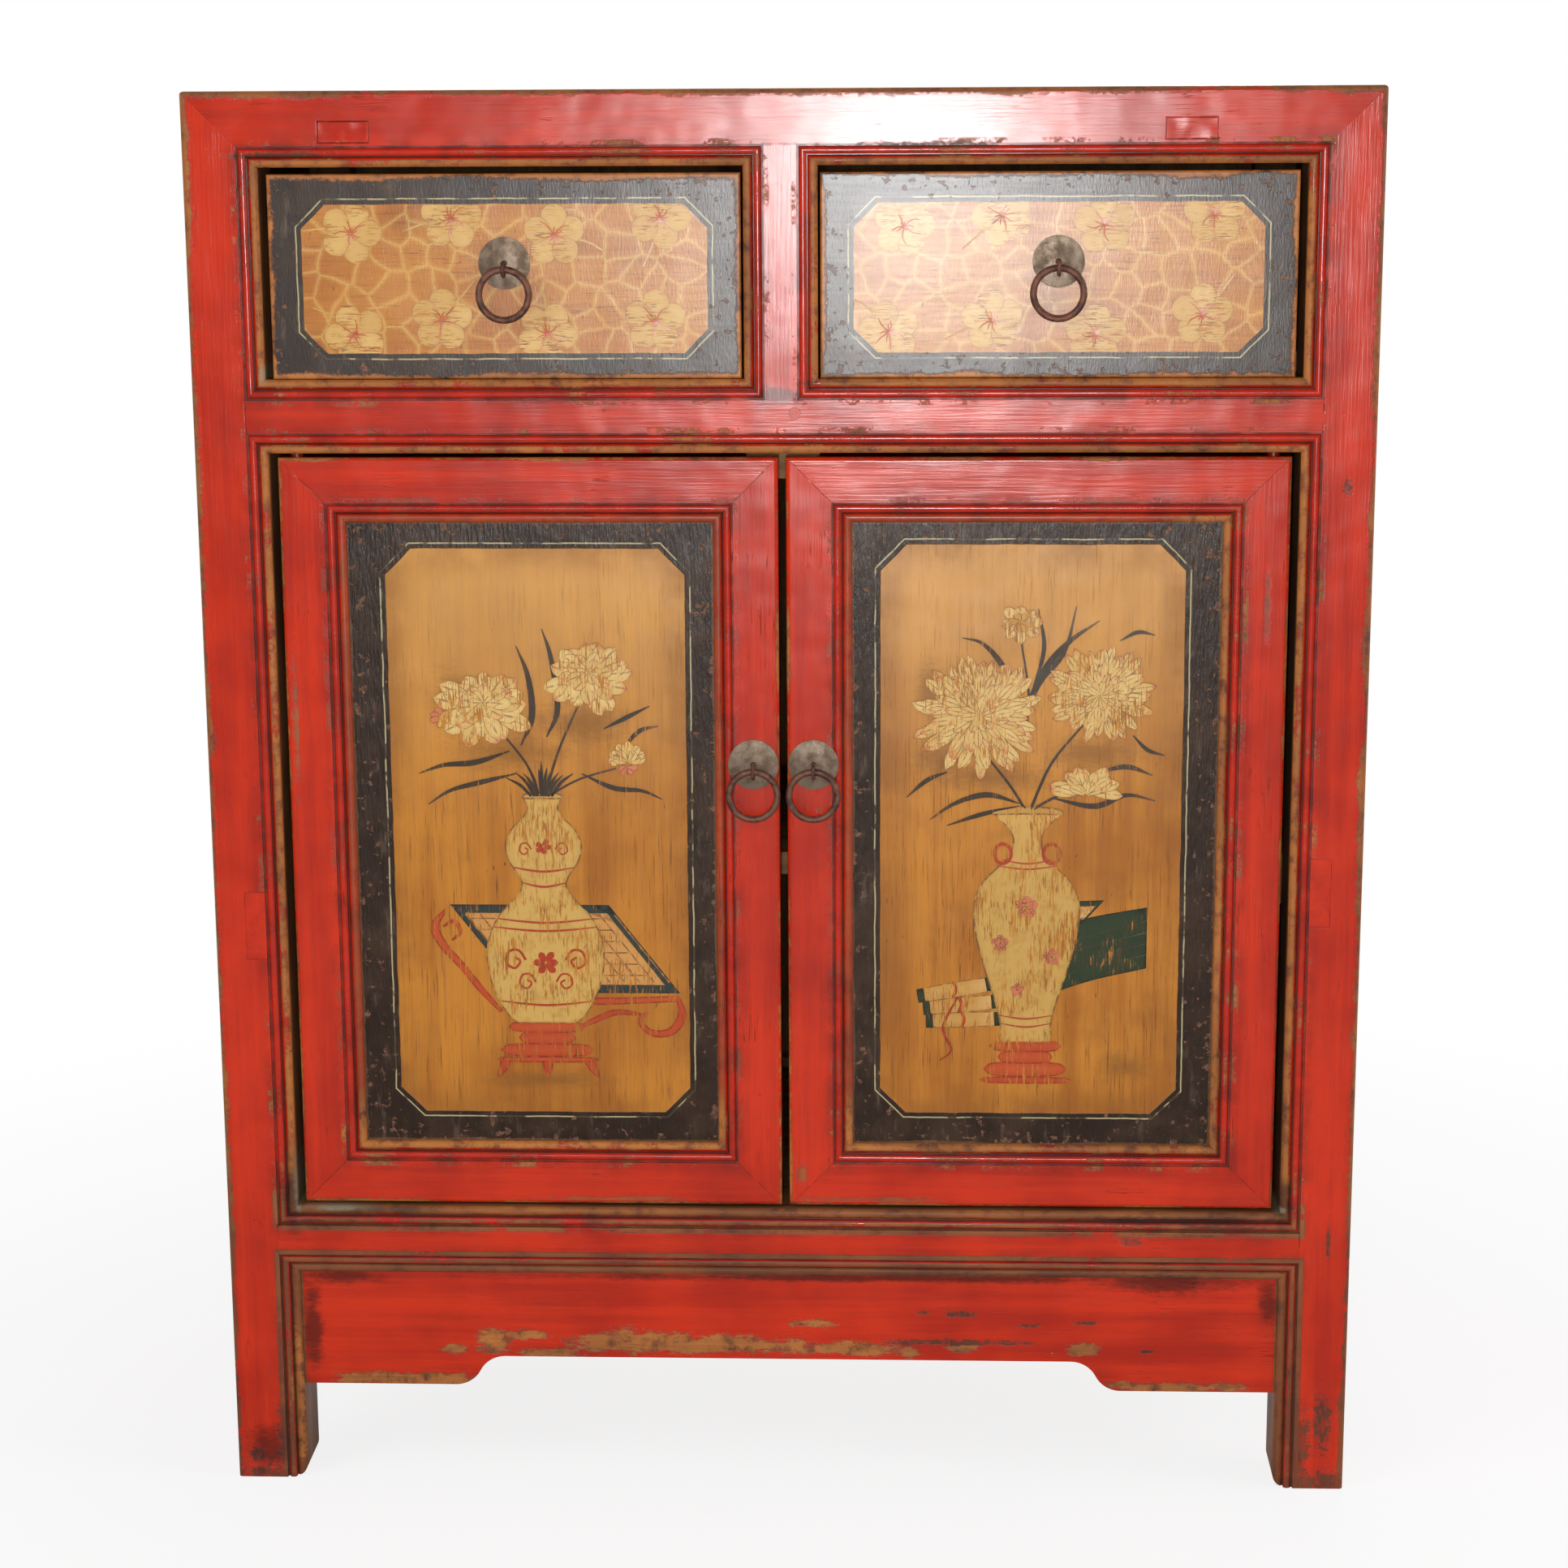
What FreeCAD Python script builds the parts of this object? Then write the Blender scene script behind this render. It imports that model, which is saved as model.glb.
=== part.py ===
import FreeCAD, Part
import math
import os
import re
import Sketcher

# A painted two-drawer, two-door cabinet, in millimetres.
# The origin lies on the floor under the middle of the whole part, pulls included.
# +X is to the right of someone who faces the cabinet, +Y is towards its back, +Z is up.

SIZES = {
    # Carcass
    "width": 800,
    "depth": 420,
    "leg": 157,  # floor to the underside of the bottom rail
    "door_opening": 538,
    "drawer_opening": 141,
    "stock": 50,  # posts and front rails are squares of this side
    "arris": 3,  # rounding of outer arrises
    "foot_round": 9,  # inner lower corner of a front foot
    # Moulding on the inner edges of the front, from the flat face inwards
    "quirk": 1.4,
    "bead_small": 5.2,
    "quirk_small": 0.6,
    "bead_large": 6.8,
    "floor_small": 2.2,  # depth of the first groove's floor
    "floor_large": 5,  # depth of the second groove's floor
    # Front joints
    "tongue": 7,  # depth of the mitred tongue that crosses a post's moulding
    "tenon_length": 35,
    "tenon_thick": 14,
    "tenon_set": 12,  # face to tenon
    "shoulder": 8,  # edge of a rail to the edge of its tenon
    "peg_radius": 4,
    "peg_length": 28,
    "peg_proud": 0.5,
    "peg_play": 0.1,
    "peg_set": 20,  # outer face of the post to the peg
    "peg_drop": 14,  # top of the bottom rail to the peg
    "centre_peg_offset": 9,
    "centre_peg_drop": 23,
    # Sides and back
    "side_rail": 40,  # thickness of the middle and lower side rails
    "side_tenon_set": 22,
    "side_tenon": 20,  # length of a blind tenon of a side rail
    "side_shoulder": 1,
    "shelf_rail_left": 389,  # underside of the left middle rail
    "shelf_rail_step": 27,  # how much higher the right middle rail sits
    "rear_rail": 36,  # thickness of the two lower rear rails
    "panel_thick": 9,
    "panel_inset": 10,
    "groove": 7,
    "groove_play": 1,
    # Top
    "top_thick": 16,
    "top_tongue": 6,
    "batten_width": 34,
    "batten_height": 26,
    "batten_tenon": 14,
    "batten_tenon_rise": 16,  # underside of the top rail to the tenon
    "batten_left_inset": 59,  # inner face of the post to the middle of the batten
    "batten_right_inset": 78,
    # Inside
    "floor_thick": 12,
    "floor_drop": 8,  # top of the bottom rail to the floor board
    "shelf_thick": 16,
    "shelf_front": 60,  # front face of the cabinet to the shelf
    "shelf_play": 2,
    "ledger": 20,
    "runner_width": 30,
    "runner_height": 30,
    "centre_runner": 90,
    "guide_height": 14,
    "guide_play": 1,
    "stop_width": 30,
    "stop_depth": 12,
    "stop_height": 6,
    "stop_spread": 80,
    "stop_gap": 0.3,
    "door_stop_width": 50,
    "door_stop_drop": 20,
    # Aprons
    "apron_thick": 16,
    "apron_recess": 8,
    "apron_end": 87,  # depth of the front apron beside the posts
    "apron_arch": 22,  # rise of its arch
    "apron_foot": 110,  # length of the apron's lower part beside a post
    "arch_curve": 36,  # width of the curve at each end of the arch
    "side_apron": 67,
    # Doors
    "door_recess": 6,
    "door_thick": 22,
    "door_side_gap": 5.4,
    "door_meeting_gap": 5.2,
    "door_bottom_gap": 2,
    "door_top_gap": 3,
    "member": 45,  # width of a door's stiles and rails
    "mitre_layer": 6,  # thickness of the mitred front of the corner joints
    "door_tenon_set": 10,
    "door_tenon_thick": 7,
    "door_tenon_length": 26,
    "door_shoulder": 6,
    "door_panel_set": 7,  # door face to panel face
    "door_panel_thick": 8,
    "door_batten": 26,
    "pivot_set": 12,
    "pivot_radius": 4.5,
    "pivot_play": 0.08,
    "pivot_bite": 16,
    "pivot_end_gap": 0.3,
    # Drawers
    "drawer_recess": 4,
    "drawer_gap_outer": 5.5,
    "drawer_gap_inner": 1.5,
    "drawer_gap_top": 4.5,
    "drawer_float": 0.3,
    "drawer_front": 18,
    "drawer_arris": 1.5,
    "drawer_rear_gap": 39,  # drawer to back panel
    "drawer_side": 12,
    "drawer_side_height": 112,
    "drawer_side_set": 1.5,
    "drawer_bottom": 8,
    "drawer_bottom_rise": 10,
    "drawer_groove": 5,
    # Pulls
    "plate_radius": 17.4,
    "plate_thick": 1.6,
    "plate_rim": 0.8,
    "ring_radius": 16.75,
    "ring_wire": 2.25,
    "eye_hole": 3.2,
    "eye_wire": 1.25,
    "eye_drop": 4,
    "shank": 1.9,
    "drill_play": 0.2,
    "clench_length": 16,
    "clench": 2.5,
    "drawer_pull_rise": 9,  # middle of the drawer front to the plate
    "door_pull_inset": 18.2,  # meeting edge of a door to the plate
    "door_pull_rise": 54,  # middle of the door to the plate
}

WORKED_OUT = {
    "opening": "width - 2 * stock",
    "doors_z": "leg + stock",
    "drawer_rail_z": "doors_z + door_opening",
    "drawers_z": "drawer_rail_z + stock",
    "top_rail_z": "drawers_z + drawer_opening",
    "height": "top_rail_z + stock",
    "mould": "quirk + bead_small + quirk_small + bead_large",
    "eye_reach": "plate_thick + eye_hole + 2 * eye_wire",
    "eye_radius": "eye_hole + eye_wire",
    "pull_reach": "eye_reach + eye_hole + 2 * eye_wire",
    "front_y": "(pull_reach - drawer_recess - depth) / 2",
    "rear_y": "front_y + depth",
    "panel_bite": "groove - groove_play",
    "shelf_rail_right": "shelf_rail_left + shelf_rail_step",
    "batten_left": "opening / 2 - batten_left_inset",
    "batten_right": "opening / 2 - batten_right_inset",
    "top_tongue_z": "stock - (top_thick + top_tongue) / 2",
    "floor_z": "stock - floor_drop - floor_thick",
    "arch_half": "opening / 2 - apron_foot - arch_curve",  # half of the arch's flat part
    "arch_half_run": "arch_curve / 2",
    "arch_half_rise": "apron_arch / 2",
    "door_width": "(opening - door_meeting_gap) / 2 - door_side_gap",
    "door_height": "door_opening - door_bottom_gap - door_top_gap",
    "drawer_width": "(opening - stock) / 2 - drawer_gap_outer - drawer_gap_inner",
    "drawer_height": "drawer_opening - drawer_float - drawer_gap_top",
    "drawer_middle": "(stock + drawer_width) / 2 + drawer_gap_inner",
    "drawer_inside": "drawer_side_set + drawer_side",
    "drawer_length": "depth - panel_inset - panel_thick - drawer_rear_gap - drawer_recess - drawer_front",
    "runner_length": "depth - stock - rear_rail",
}

BEAD_ROUND_SHARE = 0.52  # radius of a bead as a share of its width
BATTEN_SHARES = (0.27, 0.73)  # places of a door's battens, as shares of its height

doc = FreeCAD.newDocument("painted_cabinet")
sheet = doc.addObject("Spreadsheet::Sheet", "Sizes")
for row, (name, size) in enumerate(SIZES.items(), start=1):
    sheet.set(f"A{row}", name)
    sheet.set(f"B{row}", str(size))
    sheet.setAlias(f"B{row}", name)
doc.recompute()

sub_parts = {}


# Expressions


def bind(text):
    """Points each size that an expression names at its cell in the sheet."""

    def cell(match):
        name = match.group()
        if name in SIZES:
            return "Sizes." + name
        if name in WORKED_OUT:
            return "(" + bind(WORKED_OUT[name]) + ")"
        return name

    return re.sub(r"[a-z][a-z_]*", cell, text)


def value(text):
    """The number that an expression has at the sheet's present sizes."""
    return float(sheet.evalExpression(bind(text)))


def span(sign, low, high):
    """Start and length of a stretch from low to high, measured along sign times the axis."""
    start = low if sign > 0 else f"-({high})"
    return start, f"({high}) - ({low})"


# Outlines: lists of (x, y) or (x, y, radius, turn), where the radius is of an arc to the next point.
# The turn is 1 where the arc's centre lies to the left of the way to that point, and -1 to its right.


def rectangle(x0, x1, y0, y1):
    return [(x0, y0), (x1, y0), (x1, y1), (x0, y1)]


def turned(outline, sign_x=1, sign_y=1, swap=False):
    """The outline mirrored by its signs, then with x and y swapped."""
    points = []
    for x, y, *arc in outline:
        point = [f"{sign_x} * ({x})", f"{sign_y} * ({y})"]
        if swap:
            point.reverse()
        if arc:
            radius, turn = arc
            point += [radius, turn * sign_x * sign_y * (-1 if swap else 1)]
        points.append(tuple(point))
    return points


def edge_low(kind):
    """Points round the edge at 0 of a section: across its face first, then back from the face."""
    if kind == "arris":
        return [("0", "arris", "arris", 1), ("arris", "0")]
    if kind == "square":
        return [("0", "0")]
    first = "bead_large + quirk_small"
    return [
        ("0", "floor_large", f"{BEAD_ROUND_SHARE} * bead_large", 1),
        ("bead_large", "floor_large"),
        (first, "floor_large"),
        (first, "floor_small", f"{BEAD_ROUND_SHARE} * bead_small", 1),
        (f"{first} + bead_small", "floor_small"),
        ("mould", "floor_small"),
        ("mould", "0"),
    ]


def edge_high(kind, across):
    """Points round the edge at the far side of a section."""
    if kind == "arris":
        return [(f"{across} - arris", "0", "arris", 1), (across, "arris")]
    if kind == "square":
        return [(across, "0")]
    flat = f"{across} - mould"
    return [
        (flat, "0"),
        (flat, "floor_small"),
        (f"{flat} + quirk", "floor_small", f"{BEAD_ROUND_SHARE} * bead_small", 1),
        (f"{flat} + quirk + bead_small", "floor_small"),
        (f"{flat} + quirk + bead_small", "floor_large"),
        (f"{across} - bead_large", "floor_large", f"{BEAD_ROUND_SHARE} * bead_large", 1),
        (across, "floor_large"),
    ]


def section(across, deep, low, high):
    """Section of a member: x runs across its face and y back from the face."""
    return edge_low(low) + edge_high(high, across) + [(across, deep), ("0", deep)]


# Features

PLANES = {"x": "YZ_Plane", "y": "XZ_Plane", "z": "XY_Plane"}


def new_body(label, x="0", y="0", z="0"):
    body = doc.addObject("PartDesign::Body", label)
    body.Label = label
    put(body, x, y, z)
    return body


def put(thing, x, y, z):
    thing.setExpression("Placement.Base.x", bind(x))
    thing.setExpression("Placement.Base.y", bind(y))
    thing.setExpression("Placement.Base.z", bind(z))


def draw_circle(sketch, x, y, radius):
    centre = FreeCAD.Vector(value(x), value(y), 0)
    geometry = sketch.addGeometry(Part.Circle(centre, FreeCAD.Vector(0, 0, 1), value(radius)))
    rules = [
        (Sketcher.Constraint("DistanceX", geometry, 3, value(x)), x),
        (Sketcher.Constraint("DistanceY", geometry, 3, value(y)), y),
        (Sketcher.Constraint("Radius", geometry, value(radius)), radius),
    ]
    hold(sketch, rules)


def draw_outline(sketch, outline):
    places = [FreeCAD.Vector(value(x), value(y), 0) for x, y, *arc in outline]
    ends = []
    rules = []
    for index, (x, y, *arc) in enumerate(outline):
        here = places[index]
        there = places[(index + 1) % len(places)]
        if not arc:
            edge = sketch.addGeometry(Part.LineSegment(here, there))
            ends.append((edge, 1, 2))
            continue
        radius, turn = arc
        chord = there - here
        right = FreeCAD.Vector(chord.y, -chord.x, 0).normalize() * turn
        size = value(radius)
        rise = size - math.sqrt(size**2 - chord.Length**2 / 4)
        middle = (here + there) / 2 + right * rise
        edge = sketch.addGeometry(Part.Arc(here, middle, there))
        forward = sketch.getPoint(edge, 1).distanceToPoint(here) < chord.Length / 2
        ends.append((edge, 1, 2) if forward else (edge, 2, 1))
        rules.append((Sketcher.Constraint("Radius", edge, size), radius))
    joins = []
    for index, (edge, start, end) in enumerate(ends):
        following = ends[(index + 1) % len(ends)]
        joins.append(Sketcher.Constraint("Coincident", edge, end, following[0], following[1]))
        x, y = outline[index][:2]
        rules.append((Sketcher.Constraint("DistanceX", edge, start, value(x)), x))
        rules.append((Sketcher.Constraint("DistanceY", edge, start, value(y)), y))
    sketch.addConstraint(joins)
    hold(sketch, rules)


def hold(sketch, rules):
    """Adds driving constraints and binds each of them to its expression."""
    first = sketch.ConstraintCount
    sketch.addConstraint([rule for rule, text in rules])
    for offset, (rule, text) in enumerate(rules):
        sketch.setExpression(f"Constraints[{first + offset}]", bind(text))


def new_sketch(body, axis, start, outlines):
    """A sketch across an axis of the body, at the place where start says. A triple is a circle."""
    plane = next(p for p in body.Origin.OriginFeatures if p.Role == PLANES[axis])
    sketch = body.newObject("Sketcher::SketchObject", body.Name + "_sketch")
    sketch.AttachmentSupport = (plane, [""])
    sketch.MapMode = "FlatFace"
    offset = f"-({start})" if axis == "y" else start
    sketch.setExpression("AttachmentOffset.Base.z", bind(offset))
    for outline in outlines:
        if isinstance(outline, tuple):
            draw_circle(sketch, *outline)
        else:
            draw_outline(sketch, outline)
    return sketch


def feature(kind, body, axis, start, length, outlines):
    sketch = new_sketch(body, axis, start, outlines)
    made = body.newObject("PartDesign::" + kind, body.Name + "_" + kind.lower())
    made.Profile = sketch
    made.Reversed = (axis == "y") if kind == "Pad" else (axis != "y")
    made.setExpression("Length", bind(length))
    return made


def pad(body, axis, start, length, *outlines):
    """Adds material from start, towards the positive end of the axis."""
    return feature("Pad", body, axis, start, length, outlines)


def cut(body, axis, start, length, *outlines):
    """Takes material away from start, towards the positive end of the axis."""
    return feature("Pocket", body, axis, start, length, outlines)


def box(label, x, y, z):
    """A block between pairs of places."""
    made = doc.addObject("Part::Box", label)
    made.Label = label
    put(made, x[0], y[0], z[0])
    for side, (low, high) in zip(("Length", "Width", "Height"), (x, y, z)):
        made.setExpression(side, bind(f"({high}) - ({low})"))
    return made


def cylinder(label, radius, x, y, z):
    """A rod along Y, where y is its pair of ends."""
    made = doc.addObject("Part::Cylinder", label)
    made.Placement = FreeCAD.Placement(FreeCAD.Vector(), FreeCAD.Rotation(FreeCAD.Vector(1, 0, 0), -90))
    put(made, x, y[0], z)
    made.setExpression("Radius", bind(radius))
    made.setExpression("Height", bind(f"({y[1]}) - ({y[0]})"))
    return made


def torus(label, radius, wire, around, x, y, z):
    """A ring whose axis is X or Y."""
    made = doc.addObject("Part::Torus", label)
    made.Label = label
    tilt_axis = FreeCAD.Vector(0, 1, 0) if around == "x" else FreeCAD.Vector(1, 0, 0)
    made.Placement = FreeCAD.Placement(FreeCAD.Vector(), FreeCAD.Rotation(tilt_axis, 90))
    put(made, x, y, z)
    made.setExpression("Radius1", bind(radius))
    made.setExpression("Radius2", bind(wire))
    return made


def gather(label, things):
    """Like pieces that share one node."""
    made = doc.addObject("Part::Compound", label)
    made.Label = label
    made.Links = things
    return made


def keep(thing):
    sub_parts[thing.Label] = thing
    return thing


# Posts. Places on a post run inwards from its outer face, and inwards from its front or rear face.


def mortise_x(post, side, deep, z):
    """Takes the tenon of a front or rear rail, whose underside is at z."""
    cut(
        post, "z", f"{z} + shoulder", "stock - 2 * shoulder",
        turned(rectangle("stock - tenon_length", "stock", "tenon_set", "tenon_set + tenon_thick"), side, deep),
    )


def mortise_y(post, side, deep, z, length):
    """Takes the tenon of a side rail, whose underside is at z."""
    cut(
        post, "z", f"{z} + side_shoulder", "stock - 2 * side_shoulder",
        turned(
            rectangle("side_tenon_set", "side_tenon_set + tenon_thick", f"stock - {length}", "stock"),
            side, deep,
        ),
    )


def mitred_head(post, side, deep):
    """Cuts a post's top to the pyramid of a three-way mitre, with its tip at the outer corner."""
    corner = [("0", "height"), ("stock", "height"), ("stock", "height - stock")]
    start, length = span(deep, "0", "stock")
    cut(post, "y", start, length, turned(corner, side))
    start, length = span(side, "0", "stock")
    cut(post, "x", start, length, turned(corner, deep))


def panel_groove_side(post, side, deep):
    cut(
        post, "z", "doors_z - groove", "top_rail_z - doors_z + 2 * groove",
        turned(rectangle("panel_inset", "panel_inset + panel_thick", "stock - groove", "stock"), side, deep),
    )


def front_post(label, side, shelf_rail):
    post = new_body(label, f"{-side} * width / 2", "front_y")
    pad(post, "z", "0", "height", turned(section("stock", "stock", "arris", "moulded"), side))
    for rail in ("leg", "drawer_rail_z"):
        tongue_seat = [
            ("stock", rail),
            ("stock - mould", f"{rail} + mould"),
            ("stock - mould", f"{rail} + stock - mould"),
            ("stock", f"{rail} + stock"),
        ]
        cut(post, "y", "0", "tongue", turned(tongue_seat, side))
        mortise_x(post, side, 1, rail)
    mortise_y(post, side, 1, shelf_rail, "stock")
    mortise_y(post, side, 1, "leg", "side_tenon")
    panel_groove_side(post, side, 1)
    mitred_head(post, side, 1)
    foot = [("stock", "0"), ("stock", "foot_round", "foot_round", -1), ("stock - foot_round", "0")]
    cut(post, "y", "0", "stock", turned(foot, side))
    if side > 0:
        peg_hole = ("peg_set", "doors_z - peg_drop", "peg_radius + peg_play")
        cut(post, "y", "0", "peg_length", peg_hole)
    return keep(post)


def rear_post(label, side, shelf_rail):
    post = new_body(label, f"{-side} * width / 2", "rear_y")
    pad(post, "z", "0", "height", turned(section("stock", "stock", "arris", "square"), side, -1))
    for rail in ("leg", "drawer_rail_z"):
        mortise_x(post, side, -1, rail)
    for rail in ("leg", shelf_rail):
        mortise_y(post, side, -1, rail, "side_tenon")
    panel_groove_side(post, side, -1)
    cut(
        post, "z", "doors_z - groove", "top_rail_z - doors_z + 2 * groove",
        turned(rectangle("stock - groove", "stock", "panel_inset", "panel_inset + panel_thick"), side, -1),
    )
    mitred_head(post, side, -1)
    return keep(post)


front_post("post_front_left", 1, "shelf_rail_left")
front_post("post_front_right", -1, "shelf_rail_right")
rear_post("post_rear_left", 1, "shelf_rail_left")
rear_post("post_rear_right", -1, "shelf_rail_right")


# Top frame. Each rail ends in the pyramids that meet those of the posts and of its neighbours.


def stile_seat(rail, level, sign):
    """Takes the tongue and the tenon of the centre stile, in the edge of a rail at level."""
    seat = [
        ("-stock / 2", level),
        ("mould - stock / 2", f"{level} + {sign} * mould"),
        ("stock / 2 - mould", f"{level} + {sign} * mould"),
        ("stock / 2", level),
    ]
    cut(rail, "y", "0", "tongue", seat)
    start, length = span(sign, f"{sign} * ({level})", f"{sign} * ({level}) + tenon_length")
    slot = rectangle("shoulder - stock / 2", "stock / 2 - shoulder", "tenon_set", "tenon_set + tenon_thick")
    cut(rail, "z", start, length, slot)


def top_rail(label, y, deep, edge):
    """A front or rear rail of the top frame, whose face looks away from the cabinet's middle."""
    rail = new_body(label, "0", y, "top_rail_z")
    pad(rail, "x", "-width / 2", "width", turned(section("stock", "stock", edge, "arris"), 1, deep, True))
    start, length = span(deep, "0", "stock")
    for side in (-1, 1):
        from_above = [("width / 2", "0"), ("width / 2", "stock"), ("width / 2 - stock", "stock")]
        cut(rail, "z", "0", "stock", turned(from_above, side, deep))
        from_front = [("width / 2", "stock"), ("width / 2", "0"), ("width / 2 - stock", "0")]
        cut(rail, "y", start, length, turned(from_front, side))
    reach = "opening / 2 + groove"
    cut(
        rail, "z", "top_tongue_z", "top_tongue",
        turned(rectangle(f"-({reach})", reach, "stock - groove", "stock"), 1, deep),
    )
    batten_depth = "stock" if deep > 0 else "tenon_length"
    for middle in ("-batten_left", "batten_right"):
        hole = rectangle(
            f"{middle} - batten_width / 2", f"{middle} + batten_width / 2", f"stock - {batten_depth}", "stock"
        )
        cut(rail, "z", "batten_tenon_rise", "batten_tenon", turned(hole, 1, deep))
    if deep > 0:
        stile_seat(rail, "0", 1)
    else:
        panel_slot = rectangle(f"-({reach})", reach, "panel_inset", "panel_inset + panel_thick")
        cut(rail, "z", "0", "groove", turned(panel_slot, 1, deep))
    return keep(rail)


def top_side_rail(label, side):
    rail = new_body(label, f"{-side} * width / 2", "front_y", "top_rail_z")
    pad(rail, "y", "0", "depth", turned(section("stock", "stock", "square", "arris"), 1, side, True))
    start, length = span(side, "0", "stock")
    for end, sign in (("0", 1), ("depth", -1)):
        from_above = [("0", end), ("stock", end), ("stock", f"{end} + {sign} * stock")]
        cut(rail, "z", "0", "stock", turned(from_above, side))
        from_side = [(end, "stock"), (end, "0"), (f"{end} + {sign} * stock", "0")]
        cut(rail, "x", start, length, from_side)
    near = "stock - groove"
    far = "depth - stock + groove"
    cut(rail, "z", "top_tongue_z", "top_tongue", turned(rectangle("stock - groove", "stock", near, far), side))
    panel_slot = rectangle("panel_inset", "panel_inset + panel_thick", near, far)
    cut(rail, "z", "0", "groove", turned(panel_slot, side))
    return rail


top_rail("top_rail_front", "front_y", 1, "moulded")
top_rail("top_rail_rear", "rear_y", -1, "square")
top_sides = [top_side_rail("top_rail_left", 1), top_side_rail("top_rail_right", -1)]
keep(gather("top_rails_side", top_sides))

top_panel = new_body("top_panel", "0", "front_y + depth / 2", "top_rail_z")
half_x, half_y = "opening / 2", "depth / 2 - stock"
pad(top_panel, "z", "stock - top_thick", "top_thick", rectangle(f"-({half_x})", half_x, f"-({half_y})", half_y))
half_x, half_y = half_x + " + panel_bite", half_y + " + panel_bite"
pad(top_panel, "z", "top_tongue_z", "top_tongue", rectangle(f"-({half_x})", half_x, f"-({half_y})", half_y))
keep(top_panel)


def top_batten(label, middle):
    """A bar under the top panel. Its front tenon shows in the face of the top rail."""
    batten = new_body(label, middle, "front_y", "top_rail_z")
    half = "batten_width / 2"
    pad(
        batten, "z", "stock - top_thick - batten_height", "batten_height",
        rectangle(f"-{half}", half, "stock", "depth - stock"),
    )
    tenons = rectangle(f"-{half}", half, "0", "depth - stock + tenon_length")
    pad(batten, "z", "batten_tenon_rise", "batten_tenon", tenons)
    return batten


battens = [top_batten("top_batten_left", "-batten_left"), top_batten("top_batten_right", "batten_right")]
keep(gather("top_battens", battens))


# Front frame between the posts


def front_rail(label, z):
    """A rail with mouldings on both edges, which mitre into those of the posts."""
    rail = new_body(label, "0", "front_y", z)
    length = "opening + 2 * mould"
    both = turned(section("stock", "stock", "moulded", "moulded"), swap=True)
    pad(rail, "x", "-(opening / 2 + mould)", length, both)
    end = "opening / 2 + mould"
    for side in (-1, 1):
        lower = [("opening / 2", "0"), (end, "0"), (end, "mould")]
        upper = [("opening / 2", "stock"), (end, "stock"), (end, "stock - mould")]
        cut(rail, "y", "0", "tongue", turned(lower, side), turned(upper, side))
        behind = rectangle("opening / 2", end, "tongue", "stock")
        cut(rail, "z", "0", "stock", turned(behind, side))
        tenon = rectangle("opening / 2", "opening / 2 + tenon_length", "tenon_set", "tenon_set + tenon_thick")
        pad(rail, "z", "shoulder", "stock - 2 * shoulder", turned(tenon, side))
    return keep(rail)


def pivot_sockets(rail, start, depth):
    for side in (-1, 1):
        x = f"{side} * (opening / 2 - door_side_gap - pivot_set)"
        y = "door_recess + door_thick / 2"
        cut(rail, "z", start, depth, (x, y, "pivot_radius + pivot_play"))


socket_depth = "pivot_bite + pivot_end_gap"
drawer_rail = front_rail("drawer_rail_front", "drawer_rail_z")
stile_seat(drawer_rail, "stock", -1)
pivot_sockets(drawer_rail, "0", socket_depth)
centre_hole = ("centre_peg_offset", "stock - centre_peg_drop", "peg_radius + peg_play")
cut(drawer_rail, "y", "0", "peg_length", centre_hole)

bottom_rail = front_rail("bottom_rail_front", "leg")
pivot_sockets(bottom_rail, f"stock - ({socket_depth})", socket_depth)
half_x = "opening / 2"
floor_slot = rectangle(f"-{half_x}", half_x, "stock - groove", "stock")
cut(bottom_rail, "z", "floor_z", "floor_thick", floor_slot)
corner_hole = ("peg_set - width / 2", "stock - peg_drop", "peg_radius + peg_play")
cut(bottom_rail, "y", "0", "peg_length", corner_hole)

stile = new_body("centre_stile", "-stock / 2", "front_y", "drawers_z")
both = section("stock", "stock", "moulded", "moulded")
pad(stile, "z", "-mould", "drawer_opening + 2 * mould", both)
for level, sign in (("0", -1), ("drawer_opening", 1)):
    for hand in (-1, 1):
        edge = f"stock / 2 + {hand} * stock / 2"
        inner = f"stock / 2 + {hand} * (stock / 2 - mould)"
        corner = [(edge, level), (edge, f"{level} + {sign} * mould"), (inner, f"{level} + {sign} * mould")]
        cut(stile, "y", "0", "tongue", corner)
    start, length = span(sign, f"{sign} * ({level})", f"{sign} * ({level}) + mould")
    cut(stile, "z", start, length, rectangle("0", "stock", "tongue", "stock"))
    start, length = span(sign, f"{sign} * ({level})", f"{sign} * ({level}) + tenon_length")
    tenon = rectangle("shoulder", "stock - shoulder", "tenon_set", "tenon_set + tenon_thick")
    pad(stile, "z", start, length, tenon)
stile_hole = ("stock / 2 + centre_peg_offset", "-centre_peg_drop", "peg_radius + peg_play")
cut(stile, "y", "0", "peg_length", stile_hole)
keep(stile)

peg_ends = ("front_y - peg_proud", "front_y + peg_length - peg_proud")
pegs = [
    cylinder("peg_corner", "peg_radius", "peg_set - width / 2", peg_ends, "doors_z - peg_drop"),
    cylinder("peg_centre", "peg_radius", "centre_peg_offset", peg_ends, "drawers_z - centre_peg_drop"),
]
keep(gather("joint_pegs", pegs))


# Side and rear rails


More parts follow.
